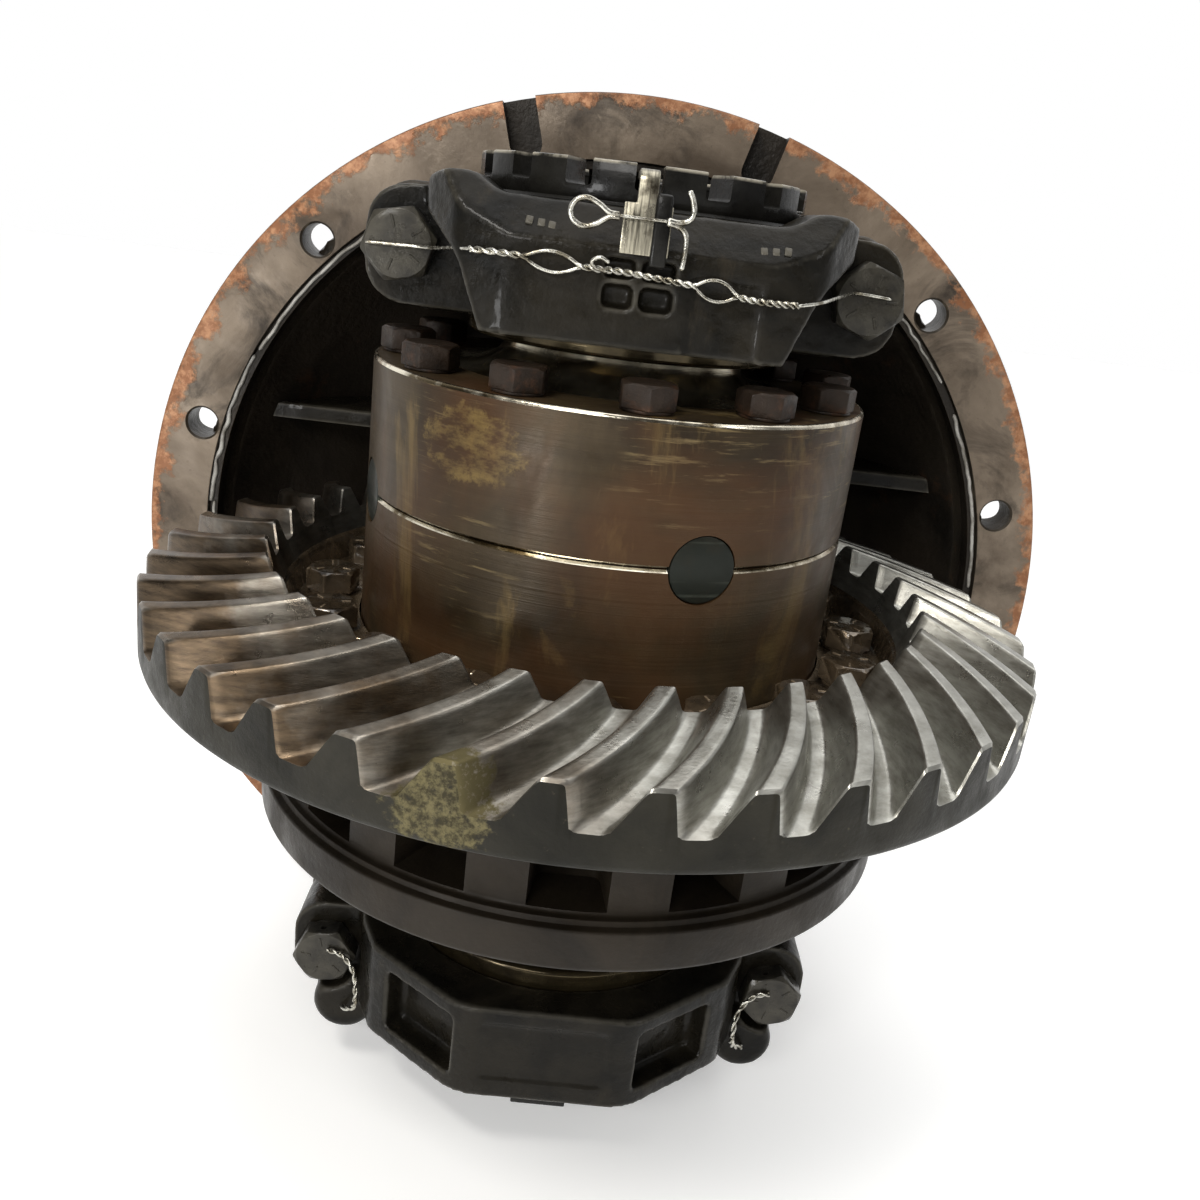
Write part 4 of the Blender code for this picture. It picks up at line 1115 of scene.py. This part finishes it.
def make_cap_upper():
    front = UP_FRONT_Y
    half = [(50, front, 20), (70, front + 7, 16), (84, front + 27, 14), (89, -36, 4), (89, -0.3, 0)]
    cap = prism("cap", rounded(mirrored(half), 0.0, 6), UP_LOW_Z, UP_EAR_Z)
    valley = []
    for k in range(51):
        x = -100 + 4 * k
        rise = min(max((abs(x) - 53) / 15, 0), 1)
        fall = min(max((abs(x) - 73) / 16, 0), 1)
        z = UP_TOP_Z - 1.5 + (UP_EAR_Z - UP_TOP_Z + 1.5) * (3 * rise ** 2 - 2 * rise ** 3)
        valley.append((x, -(z - 7 * fall ** 2)))
    top = prism("top", valley + [(100, -160), (-100, -160)], front - 10, 10, TURN_TO_Y)
    cap = cut(cap, top)
    slope = [(front - 20, 108), (front - 0.01, 106), (front + 19, 128), (front + 19, 150),
             (front - 20, 150)]
    cap = cut(cap, prism("slope", slope, -120, 120, SIDEWAYS))
    ear = ((72, 99), (90, 116), (130, 116), (130, 60), (55, 60), (68, 93))
    for side in (-1, 1):
        under_ear = [(side * x, -z) for x, z in ear]
        cap = cut(cap, prism("under_ear", under_ear, front - 10, UP_SEAT_Y + 2, TURN_TO_Y))
    for side in (-1, 1):
        cap = join(cap, lug(side * 62, side * UP_WIDE, UP_LOW_Z + 1, UP_TOP_Z - 2, UP_SEAT_Y, 17))
    low = [(front - 5, UP_LOW_Z - 5), (front + 3, UP_LOW_Z - 5), (front - 5, UP_LOW_Z + 5)]
    cap = cut(cap, prism("low", low, -120, 120, SIDEWAYS))
    holes = ((-13.5, -2.2, 84.5, 93.0), (0.6, 13, 84.5, 93.0), (0.6, 13, 95.2, 102.5),
             (-13.5, -2.2, 95.2, 102.5))
    recess = [box("recess", (x0, front - 8, z0), (x1, front + 7, z1)) for x0, x1, z0, z1 in holes]
    recess.append(box("recess", (19, front - 8, UP_LOW_Z - 5), (47, front + 1.3, 99)))
    cap = cut(cap, *recess)
    cap = cut(cap, rod("bore", UP_R + 0.3, 40, 160, 128))
    for side in (-1, 1):
        cap = cut(cap, rod("spot", 18.5, 0, 30, 48, spin(math.pi / 2, "X"),
                           (side * UP_BOLT_X, UP_SEAT_Y - 0.1, UP_BOLT_Z)))
    cast(cap, 1.25, 6, 0.15)
    dashes = []
    for x, z, tilt in ((-43, 112, 0.1), (-38.5, 111.5, 0.0), (-34.5, 111, 0.1), (45, 111, -0.1),
                       (49.5, 111.3, 0.0), (54, 112, 0.05)):
        dash = box("dash", (-1.4, -0.5, -1.7), (1.4, 0.9, 1.7),
                   spin(tilt, "Y") @ spin(math.radians(-40), "X"))
        dash.data.transform(shift(x, front + 4.6, z))
        dashes.append(bevel(dash, 0.45, 2))
    cap = merge("cap", [cap] + dashes)
    place(cap, "cap_upper_casting", "carrier", cap_black, ["bearing_cap_upper"], 50)


def make_cap_lower():
    front = LOW_FRONT_Y
    half = [(41, front, 26), (88, front + 37, 12), (97, -46, 4), (99, -34, 4), (101, -0.3, 0)]
    cap = prism("cap", rounded(mirrored(half), 0.0, 6), LOW_LOW_Z, LOW_TOP_Z)
    for side in (-1, 1):
        cap = join(cap, lug(side * 70, side * LOW_WIDE, LOW_LOW_Z + 2, LOW_TOP_Z - 1,
                            LOW_SEAT_Y, 17))
        knob = lathe("knob", rounded([(0, -47), (16.0, -47, 6), (16.0, -2), (0, -2)], 0.0, 5), 48,
                     TURN_TO_Y, (side * 105, 0, LOW_LOW_Z - 3))
        cap = join(cap, knob)
        angle = side * math.atan2(37, 47)
        window = box("window", (-22, -13, LOW_LOW_Z + 8.5), (22, 13, LOW_TOP_Z - 8.5),
                     spin(angle), (side * 62.5, front + 15.5, 0))
        cap = cut(cap, bevel(window, 3.0, 3))
    shallow = box("shallow", (-30, front - 5, LOW_LOW_Z + 10), (30, front + 1.6, LOW_TOP_Z - 8))
    cap = cut(cap, bevel(shallow, 1.2, 2))
    cap = cut(cap, rod("bore", LOW_R + 0.3, -330, -200, 128))
    for side in (-1, 1):
        cap = cut(cap, rod("spot", 19.0, 0, 40, 48, spin(math.pi / 2, "X"),
                           (side * LOW_BOLT_X, LOW_SEAT_Y - 0.1, LOW_BOLT_Z)))
    mark = prism("mark", circle(4.2, 3), LOW_FRONT_Y - 0.5, LOW_FRONT_Y + 3, TURN_TO_Y)
    mark.data.transform(shift(-31, 0, LOW_LOW_Z + 6))
    cap = join(cap, mark)
    cast(cap, 1.35, 5, 0.15)
    place(cap, "cap_lower_casting", "carrier", cap_black, ["bearing_cap_lower"], 50)


# ---------------------------------------------------------------- carrier housing
def make_flange():
    y = FLANGE_Y
    back = y + FLANGE_T
    outline = rounded([
        (OPENING_R, y + 3.2, 0.4), (OPENING_R + 4.2, y + 3.2, 0.4), (OPENING_R + 4.6, y, 0.5),
        (FLANGE_R, y, 1.3), (FLANGE_R, back, 3.0), (236, back + 1, 5), (221, back + 15, 0),
        (207, back + 15, 0), (OPENING_R, y + 14, 2)], 0.5, 4)
    ring = lathe("flange", outline, 192, TURN_TO_Y, (0, 0, FLANGE_Z))
    r = FLANGE_HOLE_R
    hole = [(0, -3), (r + 3.2, -3), (r + 1.0, 0), (r, 1.0), (r, FLANGE_T + 30), (0, FLANGE_T + 30)]
    holes = []
    for k in (0, 1, 4, 5, 6, 7, 8, 9, 10, 11):
        angle = math.radians(15 + 30 * k)
        where = (BOLT_CIRCLE_R * math.cos(angle), y, FLANGE_Z + BOLT_CIRCLE_R * math.sin(angle))
        holes.append(lathe("hole", hole, 32, TURN_TO_Y, where))
    ring = cut(ring, merge("holes", holes))
    for k in (2, 3):
        angle = math.radians(15 + 30 * k)
        slot = rounded([(-r, -r, r - 0.5), (60, -r, 0), (60, r, 0), (-r, r, r - 0.5)], 0.0, 8)
        notch = prism("notch", slot, -5, 12.5, TURN_TO_Y)
        notch.data.transform(shift(0, y, FLANGE_Z) @ spin(-angle, "Y") @ shift(BOLT_CIRCLE_R, 0, 0))
        ring = cut(ring, notch)

    def radius(centre):
        return math.hypot(centre.x, centre.z - FLANGE_Z)

    paint_faces(ring, lambda c, n: radius(c) < FLANGE_R - 2, 2)
    paint_faces(ring, lambda c, n: n.y < -0.8 and c.y < y + 1.5, 1)
    place(ring, "housing_flange", "carrier", [flange_rim, flange_face, cast_iron],
          ["carrier_housing"])


# Stations of the bell along Y: (y, radius, z of the centre)
BELL_OUTSIDE = [(100, 229, -74), (110, 226, -74), (122, 221, -74), (150, 196, -70),
                (185, 165, -58), (212, 138, -38), (228, 114, -10), (240, 106, 0)]
BELL_INSIDE = [(92, 214, -74), (108, 208, -74), (150, 181, -70), (185, 148, -60), (212, 118, -41)]


def loft(name, stations):
    """Solid through round stations along Y."""
    angles = [2 * math.pi * i / 96 for i in range(96)]
    return rings_to_object(name, [
        [(radius * math.cos(a), y, centre + radius * math.sin(a)) for a in angles]
        for y, radius, centre in stations])


def make_bell():
    outside = through(BELL_OUTSIDE, 5) + [(NOSE_END_Y, 106, 0)]
    inside = through(BELL_INSIDE, 5) + [(226, CAGE_BORE_R, 0), (NOSE_END_Y + 5, CAGE_BORE_R, 0)]
    bell = loft("bell", outside)
    for k in range(7):
        angle = math.radians(-90 + 360 / 7 * k + 12)
        rings = []
        for y, radius, centre in through(BELL_OUTSIDE, 3)[2:]:
            ring = []
            for reach_out, wide in ((-8, -6), (-8, 6), (11, 4.5), (11, -4.5)):
                grown = radius + reach_out * min(1.0, (244 - y) / 20)
                x = grown * math.cos(angle) - wide * math.sin(angle)
                z = grown * math.sin(angle) + wide * math.cos(angle)
                ring.append((x, y, centre + z))
            rings.append(ring)
        bell = join(bell, rings_to_object("rib", rings))
    boss = [(0, 238), (15, 238), (18, NOSE_END_Y), (0, NOSE_END_Y)]
    for angle in CAGE_BOLT_ANGLES:
        where = about_y(CAGE_BOLT_R, angle, 0)
        bell = join(bell, lathe("boss", boss, 32, TURN_TO_Y, where))
    bell = cut(bell, loft("inside", inside))
    cast(bell, 3.0, 4, 0.35, 16.0)
    place(bell, "housing_bell", "carrier", cast_iron)


def make_pedestals():
    """Legs behind the bearing caps, ending inside the wall of the bell."""
    clip = [(-5, 330, -74), (44, 330, -74), (70, OPENING_R - 3, -74), (108, 212, -74),
            (150, 188, -70), (190, 150, -59)]
    legs = []
    for low, high, wide, bore in ((UP_LOW_Z, UP_TOP_Z, UP_WIDE, UP_R),
                                  (LOW_LOW_Z, LOW_TOP_Z, LOW_WIDE, LOW_R)):
        outline = rounded([(-wide, -high), (wide, -high), (wide, -low), (-wide, -low)], 14.0, 6)
        leg = prism("leg", outline, 0.3, 186, TURN_TO_Y)
        leg = keep(leg, loft("clip", clip))
        leg = cut(leg, rod("bore", bore + 0.4, low - 16, high + 16, 96))
        z = (low + high) / 2
        hollows = [box("hollow", (x - 24, 60, z - 60), (x + 24, 140, z - 12))
                   for x in (-1 * wide * 0.62, wide * 0.62)]
        leg = cut(leg, *[bevel(hollow, 6, 3) for hollow in hollows])
        legs.append(cast(leg, 1.9, 3, 0.2, 14.0))
    place(merge("legs", legs), "housing_pedestals", "carrier", cast_iron, (), 50)


def make_webs():
    outline = ((112, 118), (208, 118), (190, 140), (150, 172), (112, 180))
    webs = [prism("web", [(side * x, y) for x, y in outline], -14, -5) for side in (-1, 1)]
    clip = [(90, OPENING_R - 8, -74), (108, 210, -74), (150, 184, -70), (185, 152, -59)]
    parts = [cast(keep(web, loft("clip", clip)), 2.0, 2, 0.2) for web in webs]
    place(merge("webs", parts), "housing_webs", "carrier", cap_black, (), 50)


def make_sealant():
    """Old gasket sealant left along the pilot edge of the flange."""
    beads = []
    y = FLANGE_Y
    runs = [(118, 152, 216.4, 1.0), (153, 176, 217.5, 1.3), (176, 199, 216.0, 0.9),
            (4, 31, 216.6, 1.0), (-12, 3, 217.4, 1.2), (36, 58, 216.2, 0.7)]
    for number, (first, last, radius, thick) in enumerate(runs):
        points = []
        count = 26
        for k in range(count + 1):
            angle = math.radians(first + (last - first) * k / count)
            wander = 1.6 * noise.noise(Vector((k * 0.45, number * 7.3, 0)))
            r = radius + wander
            lift = y - 0.2 if r > OPENING_R + 4.6 else y + 2.6
            points.append((r * math.cos(angle), lift, FLANGE_Z + r * math.sin(angle)))
        beads.append(strand("bead", through(points, 3), thick, 8))
    place(merge("beads", beads), "flange_sealant_traces", "carrier", sealant, (), 60)


# ---------------------------------------------------------------- pinion end
def make_nose():
    end = NOSE_END_Y
    turn = TURN_TO_Y
    cage = lathe("cage", rounded([
        (56, 240), (67.6, 240), (67.6, end + 0.3, 0), (104, end + 0.3, 1), (104, end + 13.3, 1.6),
        (76, end + 13.8, 5), (66, end + 34, 4), (58, end + 36, 1), (58, end + 28), (44, end + 26),
        (44, end + 16), (52, end + 14), (52, 252), (56, 250)], 0.8), 128, turn)
    drills = [rod("drill", 6.6, -9, 30, 24, turn, about_y(CAGE_BOLT_R, angle, end))
              for angle in CAGE_BOLT_ANGLES]
    cage = cut(cage, merge("drills", drills))
    place(cage, "pinion_cage", "carrier", cast_iron, ["pinion_bearing_cage"])
    for tag, outline in (
            ("outer", [(29.4, 253), (44, 253), (51.5, 272), (51.5, 275.5), (29.4, 275.5)]),
            ("inner", [(34.4, 223), (50, 223), (55.4, 226.5), (55.4, 238), (34.4, 238)])):
        cone = lathe("cone", rounded(outline, 1.0), 96, turn)
        place(cone, "pinion_cone_" + tag, "pinion_shaft", bearing_steel_shaded,
              ["pinion_bearing_" + tag])
    seal = lathe("seal", rounded([
        (39.2, 291), (57.1, 291), (57.1, 299.4), (53, 299.4), (51, 297.5), (45, 297.5),
        (42, 299.4), (39.2, 299.4), (41.4, 295)], 0.5), 96, turn)
    place(seal, "oil_seal", "carrier", seal_rubber, ["pinion_oil_seal"])
    yoke = lathe("yoke", rounded([
        (29.4, 280), (38.2, 280, 1.2), (38.2, 302), (43, 304), (46, 316, 6), (76, 319, 1),
        (76, 330, 1.4), (52, 330), (50, 327.6), (36, 327.6), (34.5, 330), (34, 334), (24.6, 334),
        (24.8, 309), (29.6, 308)], 0.6), 128, turn)
    drill = [(0, -14), (6, -14), (6, -1), (7.2, 0.2), (7.2, 9), (0, 9)]
    drills = [lathe("drill", drill, 32, turn, about_y(62, math.radians(45 + 90 * k), 330))
              for k in range(4)]
    yoke = cut(yoke, merge("drills", drills))
    place(yoke, "coupling_flange", "pinion_shaft", coupling_steel,
          ["companion_flange"])
    nut = prism("nut", circle(36, 6), 334.4, 351.4, turn)
    bevel(nut, 1.2, 2)
    crown = lathe("crown", [(24.6, 334.2), (37, 334.2), (37, 348), (31, 351.4), (24.6, 351.4)], 96, turn)
    nut = keep(nut, crown)
    place(nut, "pinion_lock_nut", "pinion_shaft", bolt_steel, ["pinion_nut"])


# ---------------------------------------------------------------- locks and wires
def make_locks():
    front = UP_FRONT_Y - 1.0
    top = ADJUST_TOP_Z - 2.6
    plate = box("plate", (-9, front - 3.4, 104.4), (9, front, top - 12))
    tab = rounded([(front - 3.4, 116, 0), (front - 3.4, top, 6), (-62, top, 0), (-62, top - 3.2, 0),
                   (front, top - 3.2, 3), (front, 116, 0)], 0.0, 6)
    plate = bevel(join(plate, prism("tab", tab, -4.5, 2.8, SIDEWAYS)), 0.6, 2)
    place(plate, "lock_plate_upper", "carrier", lock_steel,
          ["adjuster_lock_upper"])
    rib = bevel(box("rib", (2.2, front - 4.2, 100.5), (8.6, front + 2, top - 8)), 1.4, 3)
    place(rib, "lock_plate_clip", "carrier", adjuster_steel)
    under = LOW_LOW_Z - 0.3
    plate = box("plate", (-13, LOW_FRONT_Y + 3, under - 4.5), (13, LOW_FRONT_Y + 18.4, under))
    tab = box("tab", (-4.6, LOW_FRONT_Y + 13, ADJUST_LOW_Z + 3.5), (4.6, -66, under - 2.6))
    plate = bevel(join(plate, tab), 0.6, 2)
    place(plate, "lock_plate_lower", "carrier", adjuster_steel,
          ["adjuster_lock_lower"])


def make_cotter():
    y = UP_FRONT_Y - 6.0
    eye = [(-10, 116.5), (-14, 116.2), (-18.5, 113.4), (-23, 112.2), (-26.6, 113.8), (-28, 117.2),
           (-26.4, 120.6), (-22.5, 122), (-18, 120.4), (-14, 117.9), (-10, 117.7)]
    hook = [(7, 117.8), (11, 117.2), (14.6, 118.2), (16.2, 121.2), (15.2, 125.5), (13.6, 128.5)]
    leg = [(7, 116.6), (12, 115.6), (14.6, 112.6), (14.9, 106.5), (14.4, 101)]
    parts = [strand("pin", through([(x, y, z) for x, z in line], 6), 1.05, 10)
             for line in (eye, hook, leg)]
    parts.append(strand("pin", [(-10, y, 117.2), (7, y, 117.2)], 1.5, 10))
    place(merge("cotter", parts), "cotter_pin", "carrier", wire_steel,
          ["cotter_pin_upper"], 60)


def twisted(name, route, spread_at, turns):
    """Two wires wound round each other along a route; spread_at gives their half spacing."""
    line = [Vector(p) for p in through(route, 24)]
    total = len(line) - 1
    strands = []
    for k in (0, 1):
        points = []
        for i, point in enumerate(line):
            ahead = (line[min(i + 1, total)] - line[max(i - 1, 0)]).normalized()
            side = Vector((0, 0, 1)) - ahead * ahead.z
            side.normalize()
            out = ahead.cross(side)
            share = i / total
            wide, thin = spread_at(share)
            angle = math.pi * k + 2 * math.pi * turns(share)
            points.append(point + wide * math.cos(angle) * side + thin * math.sin(angle) * out)
        strands.append(strand(name, points, WIRE_R, 8))
    return strands


def make_wires():
    y = UP_FRONT_Y - 2.8
    left = [(-UP_BOLT_X - 13, -43.6, 95.2), (-UP_BOLT_X, -44.2, 95.6), (-84, -49, 96.2),
            (-72, -78, 98.4), (-64, -91, 99.2)]
    middle = [(-64, -91, 99.2), (-52, y, 99.4), (-40, y, 98.9), (-29, y, 98.2),
              (-18, y - 0.6, 97.8), (-8, y - 1.6, 98.0), (2, y - 2.0, 97.4), (12, y - 1.2, 96.6),
              (22, y, 95.8), (32, y, 94.7), (42, y, 93.4), (52, y, 93.2), (60, -93.5, 93.4)]
    right = [(60, -93.5, 93.4), (70, -84, 95.0), (80, -66, 97.0), (88, -50, 98.4),
             (UP_BOLT_X - 6, -44.2, 98.8), (UP_BOLT_X + 8, -43.6, 98.0)]
    tail = [(-12, y - 3.4, 100.6), (-15.4, y - 3.8, 102.2), (-18.4, y - 3.2, 100.4),
            (-16.6, y - 2.6, 98.2), (-12, y - 2.6, 97.6)]

    def bump(share, middle_at, wide):
        return max(0.0, 1 - ((share - middle_at) / wide) ** 2)

    def spread_at(share):
        loops = max(bump(share, 0.22, 0.07) * 2.9, bump(share, 0.72, 0.06) * 3.0)
        return WIRE_R + loops, WIRE_R + loops * 0.25

    def turns(share):
        step = 0.0
        for begin, finish_at, count in ((0.0, 0.15, 2.5), (0.29, 0.66, 6.0), (0.78, 1.0, 4.0)):
            step += count * min(max((share - begin) / (finish_at - begin), 0), 1)
        return step

    parts = twisted("wire", middle, spread_at, turns)
    parts += [strand("wire", through(line, 8), WIRE_R, 8) for line in (left, right, tail)]
    place(merge("wires", parts), "lock_wire_twisted", "carrier", wire_steel,
          ["lock_wire_upper"], 60)
    lower = ((114, -47.6, -250), (106, -48.5, -252), (99, -52, -259), (96.5, -58, -268),
             (98, -56, -277), (105, -48, -284.5))
    for side, tag in ((-1, "left"), (1, "right")):
        route = [(side * x, y, z) for x, y, z in lower]
        pair = twisted("wire", route, lambda share: (WIRE_R, WIRE_R), lambda share: 5 * share)
        place(merge("pair", pair), "lock_wire_lower_" + tag + "_twisted", "carrier",
              wire_steel, ["lock_wire_lower_" + tag], 60)


# ---------------------------------------------------------------- gears left as the frame has them
def dress_frame_gears():
    for name, node in frame["nodes"].items():
        if name.startswith(("side_gear", "spider_pinion")):
            node.data.materials.clear()
            node.data.materials.append(gear_flank)


# ---------------------------------------------------------------- stage
CAMERA_AT = (-0.01582, -0.59978, 0.18911)
CAMERA_YAW = math.radians(-2.15)
CAMERA_PITCH = math.radians(-18.93)
CAMERA_ROLL = math.radians(7.15)
CAMERA_LENS = 33.03


def make_camera():
    ahead = Vector((-math.sin(CAMERA_YAW) * math.cos(CAMERA_PITCH),
                    math.cos(CAMERA_YAW) * math.cos(CAMERA_PITCH), math.sin(CAMERA_PITCH)))
    level = Vector((math.cos(CAMERA_YAW), math.sin(CAMERA_YAW), 0))
    above = level.cross(ahead)
    right = level * math.cos(CAMERA_ROLL) + above * math.sin(CAMERA_ROLL)
    top = above * math.cos(CAMERA_ROLL) - level * math.sin(CAMERA_ROLL)
    data = bpy.data.cameras.new("camera")
    data.lens = CAMERA_LENS
    data.clip_start = 0.01
    cam = linked("camera", data)
    cam.matrix_world = Matrix((
        (right.x, top.x, -ahead.x, CAMERA_AT[0]), (right.y, top.y, -ahead.y, CAMERA_AT[1]),
        (right.z, top.z, -ahead.z, CAMERA_AT[2]), (0, 0, 0, 1)))
    bpy.context.scene.camera = cam


def linked(name, data):
    obj = bpy.data.objects.new(name, data)
    bpy.context.scene.collection.objects.link(obj)
    return obj


def area_light(name, where, target, size, power, colour=(1, 1, 1)):
    data = bpy.data.lights.new(name, "AREA")
    data.shape = "RECTANGLE"
    data.size, data.size_y = size
    data.energy = power
    data.color = colour
    lamp = linked(name, data)
    lamp.location = where
    lamp.rotation_mode = "QUATERNION"
    lamp.rotation_quaternion = (Vector(target) - Vector(where)).to_track_quat("-Z", "Y")


def fill_in(node, **values):
    for key, value in values.items():
        node.inputs[key.replace("_", " ")].default_value = value


def make_stage():
    """White floor and a world that is bright behind the part and grey behind the camera."""
    bm = bmesh.new()
    bmesh.ops.create_grid(bm, x_segments=8, y_segments=8, size=6.0)
    floor = from_bmesh("floor", bm)
    floor.location = (0, 0, cad_low.z - 0.002)
    plain = bpy.data.materials.new("floor_paper")
    plain.use_nodes = True
    fill_in(plain.node_tree.nodes["Principled BSDF"], Base_Color=(0.86, 0.86, 0.85, 1),
            Roughness=0.9, Emission_Color=(1, 1, 1, 1), Emission_Strength=0.3)
    floor.data.materials.append(plain)
    world = bpy.data.worlds.new("studio")
    bpy.context.scene.world = world
    world.use_nodes = True
    nodes = world.node_tree.nodes
    links = world.node_tree.links
    back = nodes["Background"]
    facing = nodes.new("ShaderNodeSeparateXYZ")
    links.new(nodes.new("ShaderNodeTexCoord").outputs["Generated"], facing.inputs[0])
    fade = nodes.new("ShaderNodeMapRange")
    fill_in(fade, From_Min=-0.1, From_Max=0.5, To_Min=0.14, To_Max=1.0)
    links.new(facing.outputs["Y"], fade.inputs["Value"])
    links.new(fade.outputs[0], back.inputs["Color"])
    sun = bpy.data.lights.new("above", "SUN")
    sun.energy = 1.1
    sun.angle = math.radians(50)
    linked("above", sun).rotation_euler = (math.radians(-8), math.radians(10), 0)
    area_light("key", (-0.45, -0.75, 1.1), (0, -0.05, 0.05), (0.4, 0.25), 9.0, (1.0, 0.97, 0.92))
    area_light("front", (-0.35, -1.1, 0.55), (0, -0.05, 0.05), (0.5, 0.2), 5.0, (1.0, 0.98, 0.95))
    area_light("low", (-0.55, -0.95, 0.0), (-0.08, -0.1, -0.18), (0.16, 0.16), 2.0)
    area_light("strip", (0.8, -0.7, 0.7), (0, -0.05, 0.02), (0.12, 0.7), 1.6)
    bpy.context.scene.view_settings.view_transform = "Standard"


make_camera()
make_ring_gear()
make_pinion()
make_bolts()
make_case()
make_bearing("upper", 45.0, 61.0, UP_R - 0.3, 63.0, 99.0, 20)
make_bearing("lower", 54.0, 72.0, LOW_R - 0.3, -222.5, -258.0, 22)
make_adjuster("upper", UP_R, 52.0, 99.4, ADJUST_TOP_Z, ADJUST_TOP_Z)
make_adjuster("lower", LOW_R, 62.0, ADJUST_LOW_Z, -258.4, ADJUST_LOW_Z)
make_cap_upper()
make_cap_lower()
make_flange()
make_bell()
make_pedestals()
make_webs()
make_sealant()
make_nose()
make_locks()
make_cotter()
make_wires()
dress_frame_gears()
make_stage()
